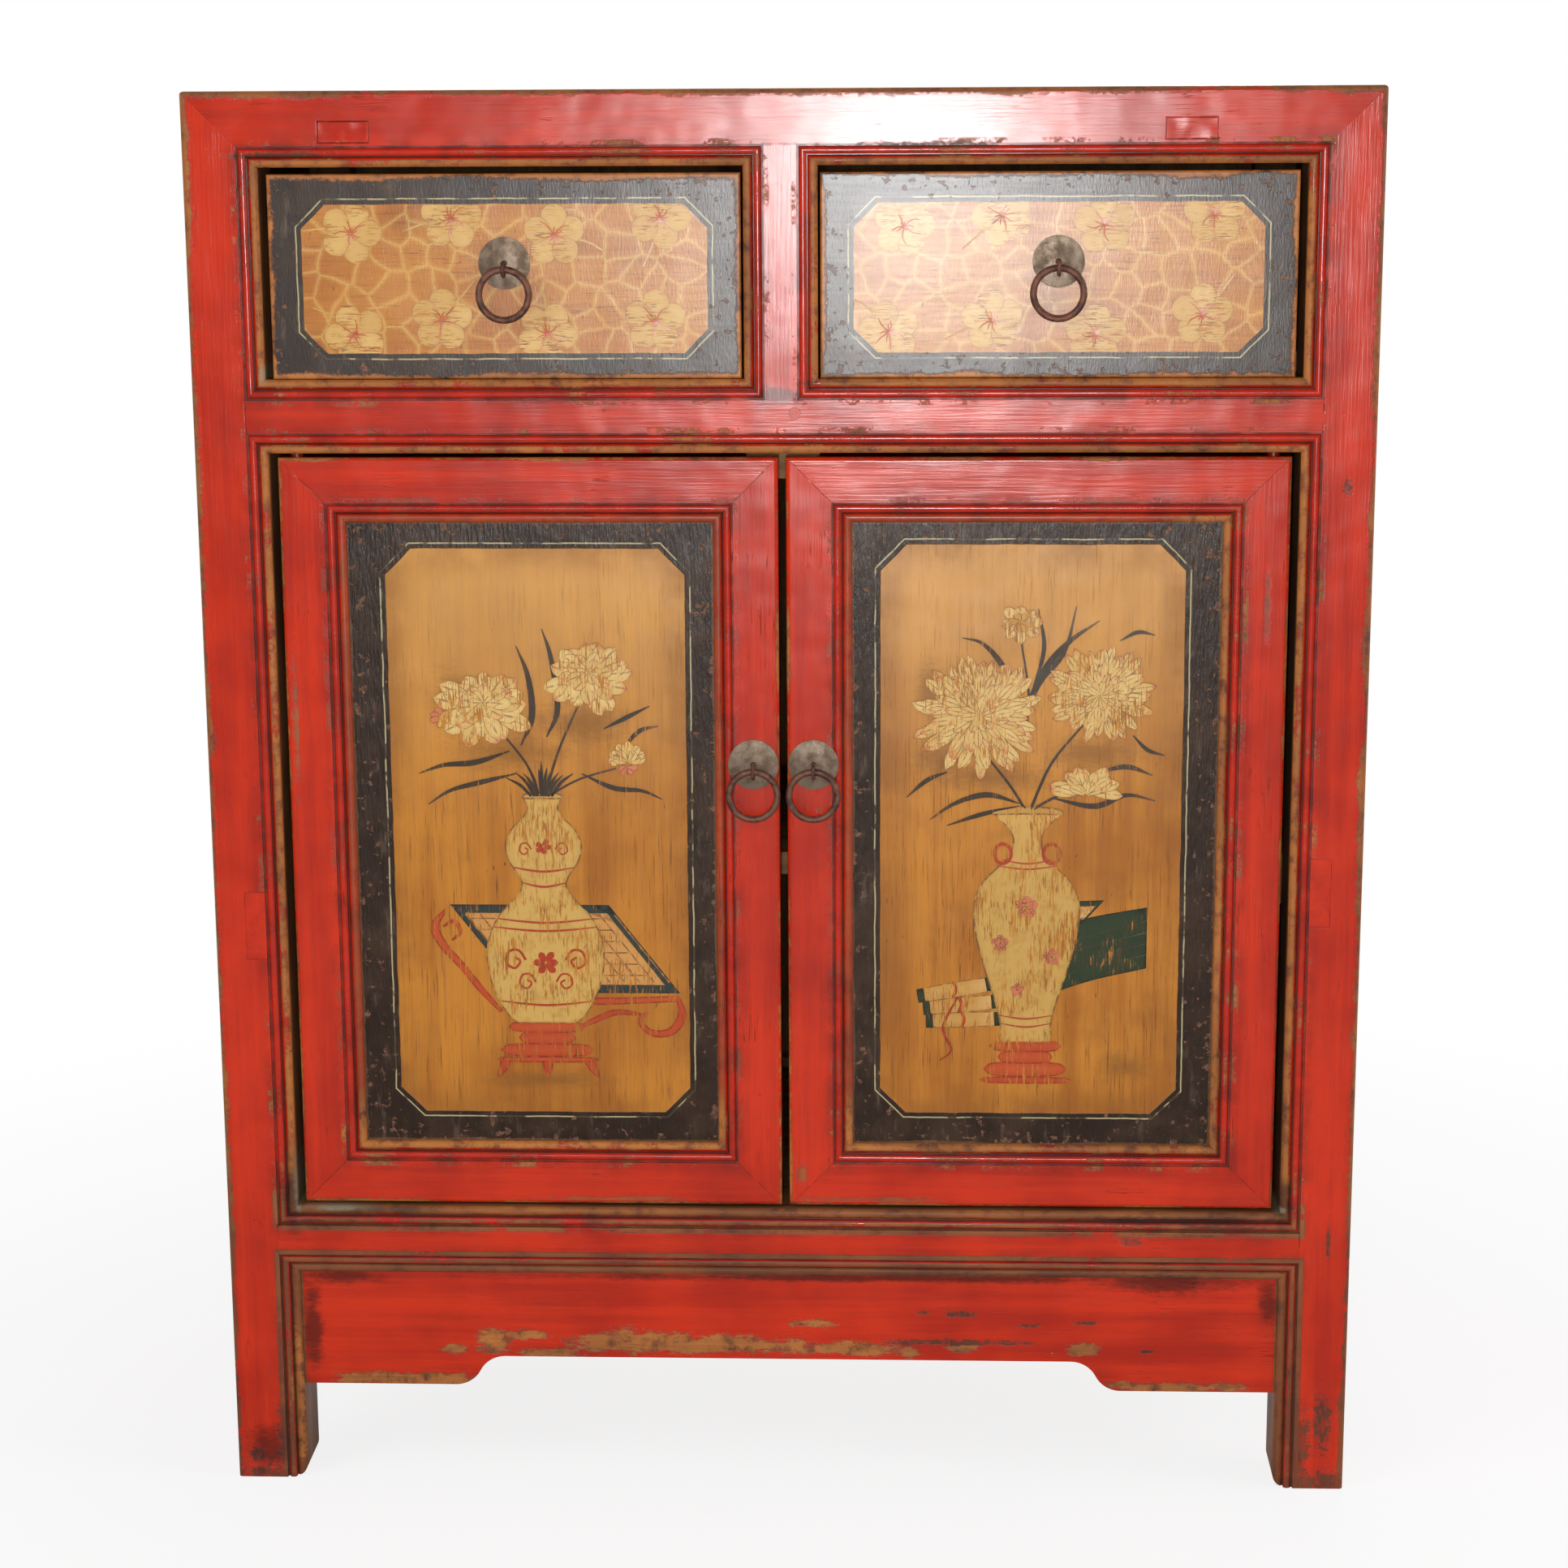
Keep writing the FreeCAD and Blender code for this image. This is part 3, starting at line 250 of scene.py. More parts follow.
# %% [markdown]
# ## Studio
# A pale floor runs back for some metres, under a white surround. The main lamp is beside the camera, and makes the
# glare on the upper rails as a camera's flash does. Large soft lamps fill in from the sides and the back, with the
# surround itself. The surround is white for the eye and weaker as a light. Reflections see the same white backdrop
# behind the cabinet, and a dimmer floor and room in front of it, which keeps the red deep.

# %% Floor
def deselect_all():
    bpy.ops.object.select_all(action="DESELECT")


deselect_all()
bpy.ops.mesh.primitive_plane_add(size=14, location=(0, 3, -0.0003))
floor = bpy.context.object
floor.name = "studio_floor"
bpy.ops.object.transform_apply()
floor_finish, place = new_material("studio_floor")
from_camera, reflected = rays_of(floor_finish.node_tree)
in_front = reflected * split(place)[1].fade(100, -300)
glow = calculate("LENGTH", place * (1, 1, 0)).fade(450, 1300) * 0.18 + 0.82
glow = glow * most(from_camera, reflected) * (1.0 - in_front)
body = node("BsdfDiffuse", mix(in_front, (0.93, 0.93, 0.93, 1), (0.16, 0.16, 0.16, 1)))
white = node("Emission", (1, 1, 1, 1), tree=floor_finish.node_tree)
new_node("OutputMaterial", node("MixShader", glow, body, white))
floor.data.materials.append(floor_finish)
print("floor", floor.name)

# %% Surround and lamps
world = bpy.data.worlds.new("studio_surround")
bpy.context.scene.world = world
world.use_nodes = True
world.node_tree.nodes.clear()
from_camera, reflected = rays_of(world.node_tree)
way = split(node("TexCoord", tree=world.node_tree, output="Generated"))[1]
room = way.fade(-0.2, 0.2) * 0.9 + 0.1
strength = reflected * (room - 0.32) + 0.32
new_node("OutputWorld", node("Background", (1, 1, 1, 1), most(strength, from_camera)))


def lamp(name, place, aim, size, power):
    """A soft square lamp at a place, turned towards its aim, both in metres."""
    bpy.ops.object.light_add(type="AREA", location=place)
    made = bpy.context.object
    made.name = name
    made.rotation_euler = (Vector(aim) - Vector(place)).to_track_quat("-Z", "Y").to_euler()
    made.data.size = size
    made.data.energy = power
    made.visible_camera = False
    print(name, power, "W")


lamp("lamp_by_camera", (0.08, -2.6, 0.88), (0.07, 0, 0.7), 0.3, 23)
lamp("lamp_upper_left", (-2.4, -2.2, 2.4), (0, 0, 0.55), 1.8, 33)
lamp("lamp_right", (3.2, -0.6, 1.9), (0, 0, 0.5), 1.8, 44)
lamp("lamp_behind", (0.6, 3.0, 2.2), (0, 0, 0.5), 2.0, 36)
bpy.context.scene.view_settings.view_transform = "Standard"

# %% [markdown]
# ## What the finishes share
# Lacquer brushed on by hand keeps fine streaks along the wood. Where hands and cloths have rubbed it, at arrises
# and on the moulding, it is gone down to brown wood, and dirt has stayed in the grooves. Each of these effects is
# one node group, because every finish of this cabinet uses several of them with other values. They work from
# distances in millimetres, measured from the edges that the CAD model has.

# %% Distance from a rectangle of the front
@shader_group
def rectangle_reach(place: "Vector", centre: "Vector", half: "Vector") -> {"Outside": "Float"}:
    across, _, up = split(abs(place - centre) - half)
    return most(across, up)


def reach(place, middle, level, width, height):
    """Distance outside a rectangle of the front, from its middle and half its width and height."""
    return rectangle_reach(place, (middle, 0, level), (width, 0, height))


# %% Streaks of the brush and of the grain
@shader_group
def brush_streaks(
    place: "Vector", along: "Vector", light: "Color", dark: "Color"
) -> {"Colour": "Color", "Streak": "Float"}:
    stretched = place * along
    streak = stretched.noise(0.55, 4, 0.6)
    wide = stretched.noise(0.075, 3, 0.6)
    tone = wide * 0.5 + place.noise(0.014, 3) * 0.5
    toned = mix(tone.fade(0.34, 0.62), dark, light)
    deep = mix(0.45, toned, (0.03, 0.01, 0.006, 1))
    return mix(streak.fade(0.42, 0.8) * 0.5, toned, deep), streak


# %% Hair cracks along the grain
@shader_group
def hair_cracks(place: "Vector", along: "Vector", scale: "Float", spread: "Float") -> {"Crack": "Float"}:
    thin = abs((place * along).noise(scale, 2) - 0.5).fade(0.01, 0.002)
    limit = 1.0 - spread
    return thin * place.noise(0.028, 3).fade(limit, limit + 0.08)


# %% Ragged wear beside an edge
@shader_group
def ragged_wear(place: "Vector", distance: "Float", width: "Float") -> {"Worn": "Float"}:
    jag = (place.noise(0.3, 5, 0.7) - 0.5) * 2.2 + (place.noise(0.018, 3, 0.6) - 0.5) * 3.2
    return (jag * width + distance).fade(width * 1.25, width * 0.55)


# %% A worn or stained patch with a ragged rim
@shader_group
def patch_rim(place: "Vector") -> {"Jag": "Float"}:
    grained = place * (0.55, 1, 1.5)
    return grained.noise(0.05, 5, 0.68) + grained.noise(0.32, 4, 0.7) * 0.7 - 0.85


@shader_group
def worn_patch(
    place: "Vector", centre: "Vector", half: "Vector", jag: "Float", soft: "Float"
) -> {"Patch": "Float"}:
    size = calculate("LENGTH", (place - centre) / half) + jag
    return size.fade(1.0, 1.0 - soft)


# %% Bands of the moulding, by the distance from the edge of its opening
def band(value, middle, outer, inner):
    """1 within inner of a middle and 0 beyond outer."""
    return abs(value - middle).fade(outer, inner)


@shader_group
def moulding_bands(
    place: "Vector", outside: "Float", age: "Float"
) -> {"Worn": "Float", "Groove": "Float", "Bead": "Float", "Glaze": "Float"}:
    fine = place.noise(0.45, 4, 0.7) - 0.5
    rubbed = fine * 0.5 + (place.noise(0.03, 4, 0.62) + age * 0.25)
    across = fine * 1.6 + outside
    inner_half = band(across, 2.0, 3.4, 2.2) * rubbed.fade(0.28, 0.46)
    outer_half = band(across, 5.4, 2.0, 1.0) * rubbed.fade(0.5, 0.66)
    ridge = band(across, 10, 2.2, 0.8) * rubbed.fade(0.54, 0.7)
    flat_edge = band(across, 15.2, 3.2, 1.4) * rubbed.fade(0.55, 0.66)
    broken = place.noise(0.08, 3).fade(0.3, 0.55) * 0.6 + 0.4
    groove = most(band(outside, 7.1, 1.0, 0.3), band(outside, 13.3, 1.1, 0.4) * broken)
    # Painted shade: a soft darker band on the moulding and the flat beside each opening.
    opening_shade = outside.fade(27, 12) * outside.fade(-1, 0.5) * place.noise(0.04, 4, 0.6).fade(0.38, 0.66)
    return most(inner_half, outer_half, ridge, flat_edge), groove, band(outside, 10, 3.4, 2.2), opening_shade


# %% [markdown]
# ## Red lacquer
# The frame, the door frames and the aprons share one lacquer. Its colour is a little darker and browner where the
# brush left less. A clear top coat gives the sharp glints on the beads, and the rougher layer under it the broad
# glare. Upright boards have upright streaks and level boards level ones, so the same finish is made in several
# directions. Inner faces, which the lacquer never reached, are bare wood.

# %% Colours of lacquer and wood
RED_LIGHT, RED_DARK, RED_BEAD = paint(208, 46, 5), paint(172, 31, 5), paint(188, 36, 16)
PALE_WOOD = paint(186, 112, 42), paint(150, 86, 32)
BROWN_WOOD = paint(126, 62, 26), paint(80, 38, 18)
INNER_WOOD = paint(150, 104, 62), paint(104, 68, 40)
DIRT_AND_SHADE_COLOUR = paint(46, 22, 14)
UP, ACROSS, BACK = (1, 1, 0.035), (0.035, 1, 1), (1, 0.035, 1)
FACE = (1, 0, 1)  # takes the depth out of a place


def corner_distance(first, second):
    """Distance from an arris, from the distances along the two faces that meet in it."""
    return calculate("SQRT", first * first + second * second)


def worn_wood(place, along, pale=1.0):
    """Colour of wood that shows where lacquer has gone: tan where pale is 1, and dark brown at 0."""
    tan, _ = brush_streaks(place, along, *PALE_WOOD)
    brown, _ = brush_streaks(place, along, *BROWN_WOOD)
    return mix(place.noise(0.09, 5, 0.7).fade(0.3, 0.54) * pale, brown, tan)


def lacquer(
    place, along, worn, groove, crack, bare, bead=0.0, darkened=0.0, opening_shade=0.0, raised=None, pale=1.0, dust=0.0
):
    """Colours a red board from its masks and ends the material."""
    red, streak = brush_streaks(place, along, RED_LIGHT, RED_DARK)
    wood = worn_wood(place, along, pale)
    loss = most(worn, place.noise(0.32, 4, 0.7).fade(0.75, 0.78) * 0.5)
    fringe = loss.fade(0.0, 0.45) * loss.fade(0.98, 0.7)
    grain, _ = brush_streaks(place, along, paint(150, 98, 54), paint(104, 62, 34))
    # Two of these coats paint shade. The dark red band beside the openings is painted shade. The dark brown of the
    # darkened places is old dirt in corners and painted shade in the reveals, under the bottom rail and on the doors'
    # edges. Grooves and cracks take the same dark brown as real dirt.
    colour = layers(
        red, (bead, RED_BEAD), (opening_shade * 0.45, paint(92, 26, 16)), (loss.fade(0.3, 0.8), wood),
        (fringe * 0.32, paint(84, 34, 18)), (bare, grain), (darkened * 0.9, DIRT_AND_SHADE_COLOUR), (groove * 0.6, DIRT_AND_SHADE_COLOUR),
        (crack * 0.55, DIRT_AND_SHADE_COLOUR), (dust * 0.6, paint(142, 134, 108)),
    )
    rough = most(loss, groove, bare) * 0.36 + (streak * 0.12 + 0.195)
    height = streak * 0.5 + place.noise(0.035, 1) * 2.4
    height = crack * -0.5 + (loss * -0.4 + height)
    if raised is not None:
        height = raised * 7.0 + height
    coat = most(loss, bare) * -0.31 + 0.33
    finish(colour, rough, height, coat=coat, coat_roughness=0.165)


# %% Places of wear on the carcass, as middle x and z and half width and height in millimetres
OPENINGS = [
    (side * (DRAWER_MIDDLE + 2), (TOP_RAIL + DRAWERS) / 2, 162.5, (TOP_RAIL - DRAWERS) / 2) for side in (-1, 1)
] + [(0, (DRAWER_RAIL + DOORS) / 2, HALF_OPENING, (DRAWER_RAIL - DOORS) / 2), (0, 0, HALF_OPENING, LEG)]
JOINT_LINES = [  # short lines where one board's face meets another's
    (-364, 770, 0.1, 11), (364, 770, 0.1, 11), (-364, 182, 0.1, 11), (364, 182, 0.1, 11),
    (0, 781, 11, 0.1), (0, 950, 11, 0.1),
]
TENON_ENDS = [(-371, 414, 7, 24), (371, 441, 7, 24), (-291, 959, 17, 7), (272, 959, 17, 7)]
RUBBED = [  # lacquer gone down to pale wood: the apron, then its lower edge and a foot
    (-110, 104, 54, 11), (-46, 102, 72, 7.5), (18, 119, 19, 4.5), (46, 101, 36, 6), (88, 97, 10, 5), (128, 102, 14, 5),
    (212, 102, 12, 6), (-212, 103, 15, 10), (-190, 108, 20, 4), (-170, 95, 26, 5), (-240, 98, 12, 5),
    (-272, 73, 62, 7), (284, 73, 64, 5), (-354, 62, 5, 56),
]
SCRAPED = [  # darker loss with the grain showing
    (97, 128, 6, 2.5), (126, 127, 13, 3), (175, 119, 11, 2.4), (214, 121, 13, 2.4), (258, 100, 9, 2), (246, 186, 10, 4),
    (384, 50, 8, 30), (-386, 16, 6, 9), (18, 791, 12, 5), (-395, 547, 3, 12), (381, 722, 4, 9), (-330, 944, 40, 3),
    (90, 949, 70, 2.5), (120, 106, 60, 3), (368, 30, 10, 34), (-364, 30, 8, 40), (-376, 4, 26, 10), (376, 5, 26, 12),
    (362, 60, 6, 50), (-366, 96, 3.5, 30), (200, 160, 70, 3), (300, 196, 40, 3), (384, 186, 1.6, 20),
]
DIRT_AND_SHADE_SPOTS = [  # darker places: old dirt in corners, and painted shade along the apron's top edge under the bottom rail and on the rail below the doors
    (-343, 112, 9, 50), (344, 136, 12, 22), (-320, 152, 40, 8), (60, 154, 300, 4.5), (270, 152, 70, 11),
    (-352, 214, 12, 40), (352, 214, 9, 26), (-300, 205, 70, 4), (280, 201, 90, 5), (0, 785, 20, 9), (-378, 24, 20, 22),
]
DUST = [  # pale dust, caught in corners
    (-349, 222, 4, 34), (-318, 206, 36, 3.5), (349, 209, 8, 3), (-351, 800, 4, 10),
]


def patches(place, spots, ragged, soft):
    """The strongest of several ragged patches."""
    face = place * FACE
    jag = patch_rim(face) * ragged
    return most(*(worn_patch(face, (cx, 0, cz), (hx, 1, hz), jag, soft) for cx, cz, hx, hz in spots))


print(len(RUBBED + SCRAPED + DIRT_AND_SHADE_SPOTS + DUST), "worn, dirty and dusty places")

# %% Red lacquer of the carcass
def red_carcass(name, along):
    made, place = new_material(name)
    x, y, z = split(place)
    wide = abs(x)
    face = place * FACE
    depth = y - FRONT
    near_front, on_face = depth.fade(9, 8), depth.fade(10, 9)
    outside = least(*(reach(face, *opening) for opening in OPENINGS))
    age = z.fade(260, 160)
    band_worn, groove, bead, opening_shade = (part * near_front for part in moulding_bands(place, outside, age))

    side, below_top, behind = HALF_WIDTH - wide, HEIGHT - z, REAR - y
    arrises = least(
        corner_distance(side, depth), corner_distance(below_top, depth), corner_distance(side, below_top),
        corner_distance(side, behind),
    )
    edge = ragged_wear(place, arrises, 3.9)
    rubbed = patches(place, RUBBED, 2.4, 0.35)
    hatch = (place * (1, 1, 0.35)).noise(0.45, 3, 0.6).fade(0.4, 0.56)
    scraped = patches(place, SCRAPED, 2.8, 0.6) * (hatch * 0.5 + 0.42)
    worn = most(edge, band_worn, most(rubbed, scraped) * on_face)

    joints = [abs(reach(face, *line)).fade(0.9, 0.2) for line in JOINT_LINES]
    tenons = [reach(face, *end) for end in TENON_ENDS]
    raised = most(*(tenon.fade(0.5, -0.5) for tenon in tenons)) * depth.fade(2, 1)
    mitre = abs(wide - (z - TOP_RAIL) - HALF_OPENING).fade(0.7, 0.2)
    mitre = mitre * z.fade(TOP_RAIL + MOULDING - 1, TOP_RAIL + MOULDING + 1)
    lines = most(mitre * 0.3, *joints, *(abs(tenon).fade(0.9, 0.2) for tenon in tenons))
    lines = lines * place.noise(0.09, 4, 0.6).fade(0.42, 0.6) * near_front

    reveal = outside.fade(0.7, 0.2) * outside.fade(-1.2, -0.6) * depth.fade(5.2, 6.4)
    inside = wide.fade(HALF_WIDTH - 1, HALF_WIDTH - 2)
    inner = inside * below_top.fade(1, 2) * z.fade(LEG - 7, LEG) * depth.fade(9, 15)
    inner = most(inner, behind.fade(1.5, 0.5) * inside)
    # Darker spots: old dirt in corners, and painted shade under the bottom rail and below the doors.
    dirt_and_shade = patches(place, DIRT_AND_SHADE_SPOTS, 1.6, 0.8) * on_face
    inward = wide - HALF_OPENING
    leg = inward.fade(-0.7, -0.2) * inward.fade(1.5, 0.5) * z.fade(LEG, LEG - 3) * depth.fade(4, 7)
    pale = most(rubbed, age * -0.62 + 0.85) * scraped.fade(0.4, 0.1)
    pale = pale * (arrises.fade(2, 5) * 0.35 + 0.65) * (1.0 - leg)
    # The reveals of the openings are bare wood, and a little darker again as painted shade.
    lacquer(
        place, along, most(worn, leg * 0.95), groove, most(hair_cracks(place, along, 0.3, 0.4), lines),
        most(inner, reveal), bead=most(bead * 0.7, raised * 0.3), darkened=most(dirt_and_shade * 0.8, reveal * 0.12),
        opening_shade=opening_shade, raised=raised * place.noise(0.055, 1), pale=pale, dust=patches(place, DUST, 1.8, 0.8),
    )
    return made


red_upright = red_carcass("red_lacquer_upright", UP)
red_level = red_carcass("red_lacquer_level", ACROSS)
print("carcass lacquer ready")

# %% [markdown]
# ## Lacquer of the sides and the top
# The sides and the top have no moulding, so their finish is simpler: streaks, worn arrises, and bare wood on the
# faces that look into the cabinet.

# %% Red lacquer of the sides and the top
def red_plain(name, along, bare_side, arris):
    made, place = new_material(name)
    x, y, z = split(place)
    edge = ragged_wear(place, arris(x, y, z), 2.4)
    lacquer(place, along, edge, 0.0, hair_cracks(place, along, 0.3, 0.4), bare_side(x, y, z))
    return made


def side_arris(x, y, z):
    """Distance to the arrises of the side rails, which lie 50 mm apart in height."""
    levels = (abs(z - level) for level in (LEG, DOORS, TOP_RAIL, HEIGHT))
    return corner_distance(HALF_WIDTH - abs(x), least(*levels))


def inside_is_bare(limit):
    """Bare wood nearer the middle than the limit, but for the top and the tenon ends in the front."""
    return lambda x, y, z: (
        abs(x).fade(limit, limit - 1) * y.fade(FRONT + 20, FRONT + 24) * z.fade(HEIGHT - 0.5, HEIGHT - 1.5)
    )


def underside_is_bare(x, y, z):
    return z.fade(HEIGHT - 4, HEIGHT - 6)


def no_arris(x, y, z):
    """A distance at which nothing is worn."""
    return 50.0


red_side_rails = red_plain("red_lacquer_side_rails", BACK, inside_is_bare(385), side_arris)
red_side_panels = red_plain("red_lacquer_side_panels", UP, inside_is_bare(386), no_arris)
red_side_aprons = red_plain("red_lacquer_side_aprons", BACK, inside_is_bare(380), no_arris)
red_top = red_plain("red_lacquer_top", ACROSS, underside_is_bare, no_arris)
print("side and top lacquer ready")

# %% [markdown]
# ## Door frames
# The doors carry the same lacquer and moulding. Both doors use one finish, by measuring from the cabinet's middle
# with the sign of x taken away. The mitres at the corners show as fine dark lines.

# %% Red lacquer of the doors
DOOR_LEVEL = 475.5
PANEL_HALF, FRAME_HALF = (126, 221.5), (171, 266.5)
DOOR_MARKS = [  # knocks in the lacquer: a knot, then scuffs at the bottom rails and beside the pulls
    (35, 408, 3, 4), (12, 232, 5, 10), (25, 497, 3, 3), (60, 214, 60, 2.5),
    (-120, 213, 70, 2.5), (330, 640, 3, 30), (-338, 560, 3, 60),
]


def red_door(name, along):
    made, place = new_material(name)
    x, y, z = split(place)
    fold = abs(place) * FACE
    depth = y - DOOR_FACE
    near_front = depth.fade(8, 7)
    outside = reach(fold, DOOR_MIDDLE, DOOR_LEVEL, *PANEL_HALF)
    rim = reach(fold, DOOR_MIDDLE, DOOR_LEVEL, *FRAME_HALF)
    band_worn, groove, bead, opening_shade = (part * near_front for part in moulding_bands(place, outside, 0.15))
    handled = most(z.fade(330, 262), x.fade(200, 300) * 0.9, 0.5)
    edge = ragged_wear(place, corner_distance(rim, most(depth, 0.0)), 1.8)
    across, _, up = split(abs(fold - (DOOR_MIDDLE, 0, DOOR_LEVEL)))
    diagonal = across - up - (FRAME_HALF[0] - FRAME_HALF[1])
    mitre = abs(diagonal).fade(0.65, 0.2) * outside.fade(13, 15)
    mitre = mitre * place.noise(0.13, 3).fade(0.36, 0.52) * near_front
    scraped = patches(place, DOOR_MARKS, 2.4, 0.7) * 0.6
    # The doors' edge faces darken further back from the front: painted shade in the gap round each door.
    lacquer(
        place, along, most(edge, band_worn * handled, scraped * near_front), groove,
        most(hair_cracks(place, along, 0.3, 0.42), mitre),
        most(depth.fade(19, 21), depth.fade(11, 12) * outside.fade(4, 3)),
        bead=bead * 0.7, darkened=depth.fade(3, 7) * rim.fade(-2, -0.2) * 0.7, opening_shade=opening_shade,
    )
    return made


red_door_upright = red_door("red_door_upright", UP)
red_door_level = red_door("red_door_level", ACROSS)
print("door lacquer ready")

# %% [markdown]
# ## Painted drawer fronts and door panels
# Each has an amber ground inside a black border, with cut corners and a fine ivory line. The border's shape is a
# distance too: from a rectangle whose corners are cut at 45 degrees. One distance places the ground, the line and
# the border, so they stay parallel as a painter's ruled lines do.

# %% Distance from a field with cut corners
@shader_group
def cut_field(place: "Vector", centre: "Vector", half: "Vector", cut: "Float") -> {"Outside": "Float"}:
    across, _, up = split(abs(place - centre) - half)
    return most(across, up, (across + up + cut) * 0.7071)


# %% Amber ground under varnish
@shader_group
def amber_ground(
    place: "Vector", along: "Vector", light: "Color", dark: "Color"
) -> {"Colour": "Color", "Streak": "Float", "Scratch": "Float"}:
    amber, streak = brush_streaks(place, along, light, dark)
    here = place.noise(0.03, 3, 0.6).fade(0.4, 0.6)
    scratch = (place * along).noise(1.1, 3, 0.6).fade(0.58, 0.68) * (here * 0.8 + 0.2)
    smudge = place.noise(0.016, 4, 0.6).fade(0.5, 0.72)
    short = (place * (1, 1, 0.3)).noise(0.4, 3, 0.6)
    fleck = short.fade(0.66, 0.715) * place.noise(0.021, 2).fade(0.48, 0.62)
    colour = layers(
        amber, (smudge * 0.55, paint(146, 86, 20)), (scratch * 0.75, paint(112, 60, 24)),
        (fleck * 0.85, paint(48, 28, 18)),
    )
    return colour, streak, most(scratch, fleck)


# %% Black border with chips and an ivory line
@shader_group
def black_border(
    place: "Vector", field: "Float", rim: "Float", ground: "Color", black: "Color"
) -> {"Colour": "Color", "Chips": "Float", "Border": "Float"}:
    field = field + (place.noise(0.05, 3) - 0.5) * 1.6
    border = field.fade(-0.3, 0.3)
    cloudy = place.noise(0.03, 4, 0.6).fade(0.4, 0.7) * 0.5
    scuff = (place * (1, 1, 0.3)).noise(0.11, 5, 0.72).fade(0.54, 0.74) * 0.5
    sheen = layers(black, (cloudy, paint(78, 56, 38)), (scuff, paint(112, 92, 76)))
    chips = (rim.fade(16, 0) * 0.05 + place.noise(0.17, 4, 0.6)).fade(0.63, 0.655)
    upright = (place * (1, 1, 0.12)).noise(0.7, 3, 0.6)
    upright = upright.fade(0.68, 0.72) * place.noise(0.02, 2).fade(0.48, 0.6)
    chips = most(chips, upright * 0.8)
    flaked = mix(place.noise(0.4, 2).fade(0.45, 0.55), paint(118, 80, 52), paint(88, 54, 36))
    kept = place.noise(0.045, 3, 0.65).fade(0.42, 0.5)
    line = abs(field - 3.6).fade(0.7, 0.25) * (kept * 0.85 + 0.1)
    black = layers(sheen, (chips, flaked), (line, paint(180, 168, 124)))
    return mix(border, ground, black), chips * border, border


# %% Painted door panels
DOOR_FIELDS = {"left": (-170.8, 477.2, 103.2, 201.6), "right": (171.1, 479.2, 104.2, 202.4)}
DOOR_AMBER = ((1, 1, 0.03), paint(196, 126, 33), paint(166, 97, 16))
SMUDGES = {  # darker, rubbed places round the flowers
    "left": [(-20, 60, 62, 20), (30, 80, 50, 24), (-60, 96, 20, 30), (0, -178, 60, 10)],
    "right": [(-62, 52, 30, 26), (-30, 40, 60, 16), (44, 56, 46, 18), (-70, 100, 14, 34), (70, -168, 30, 16)],
}


def painted_panel(side):
    made, place = new_material(f"painted_panel_{side}")
    _, y, z = split(place)
    face = place * FACE
    cx, cz, hx, hz = DOOR_FIELDS[side]
    ground, streak, scratch = amber_ground(place, *DOOR_AMBER)
    field = cut_field(face, (cx, 0, cz), (hx, 0, hz), 18)
    rim = reach(face, math.copysign(DOOR_MIDDLE, cx), DOOR_LEVEL, *PANEL_HALF) * -1.0
    smudge = patches(place, [(cx + a, cz + b, c, d) for a, b, c, d in SMUDGES[side]], 1.2, 1.0)
    margin = field.fade(-26, 0) * place.noise(0.022, 4, 0.6).fade(0.3, 0.65)
    # The field is lighter towards its top: a painted highlight of the glare from the lamp beside the camera.
    amber = layers(
        ground, (z.fade(cz - 20, cz + 190) * 0.5, paint(220, 167, 92)), (smudge * 0.72, paint(130, 82, 24)),
        (margin * 0.6, paint(140, 84, 22)),
    )
    painted, chips, border = black_border(place, field, rim, amber, paint(45, 27, 15))
    wood, _ = brush_streaks(place, UP, *INNER_WOOD)
    colour = layers(
        painted, (ragged_wear(place, rim, 1.3) * 0.6, paint(120, 84, 60)), ((y - PANEL_FACE).fade(2, 4), wood)
    )
    roughness = chips * 0.25 + (streak * 0.14 + 0.24)
    height = streak * 0.2 + place.noise(0.03, 1) * 1.8
    height = scratch * -0.25 + (chips * -0.8 + height)
    height = border * (place * (1, 1, 0.2)).noise(0.5, 3, 0.6) * 1.8 + height
    finish(colour, roughness, height, coat=0.25)
    return made


painted_panels = {side: painted_panel(side) for side in DOOR_FIELDS}

# %% Painted drawer fronts
DRAWER_FIELD = (136.5, 49.6, 861.9)  # half width, half height and middle level
DRAWER_FRONT = (DRAWER_MIDDLE, 863.4, 159, 68.1)  # middle and level, then half width and half height
DRAWER_AMBER = ((0.05, 1, 1), paint(204, 139, 55), paint(180, 110, 34))


def ice_lines(place):
    """Pale lines between the cells of cracked ice, and a soft halo beside them."""
    wave = node("TexNoise", output="Color", Vector=place, Scale=0.03)
    across, _, up = split(wave * (12, 0, 12) + place)
    cells = node(
        "TexVoronoi", feature="DISTANCE_TO_EDGE", voronoi_dimensions="2D", output="Distance",
        Vector=node("CombineXYZ", across, up), Scale=0.053,
    )
    kept = place.noise(0.045, 3, 0.65).fade(0.3, 0.5)
    return cells.fade(0.034, 0.012) * kept, cells.fade(0.16, 0.03)


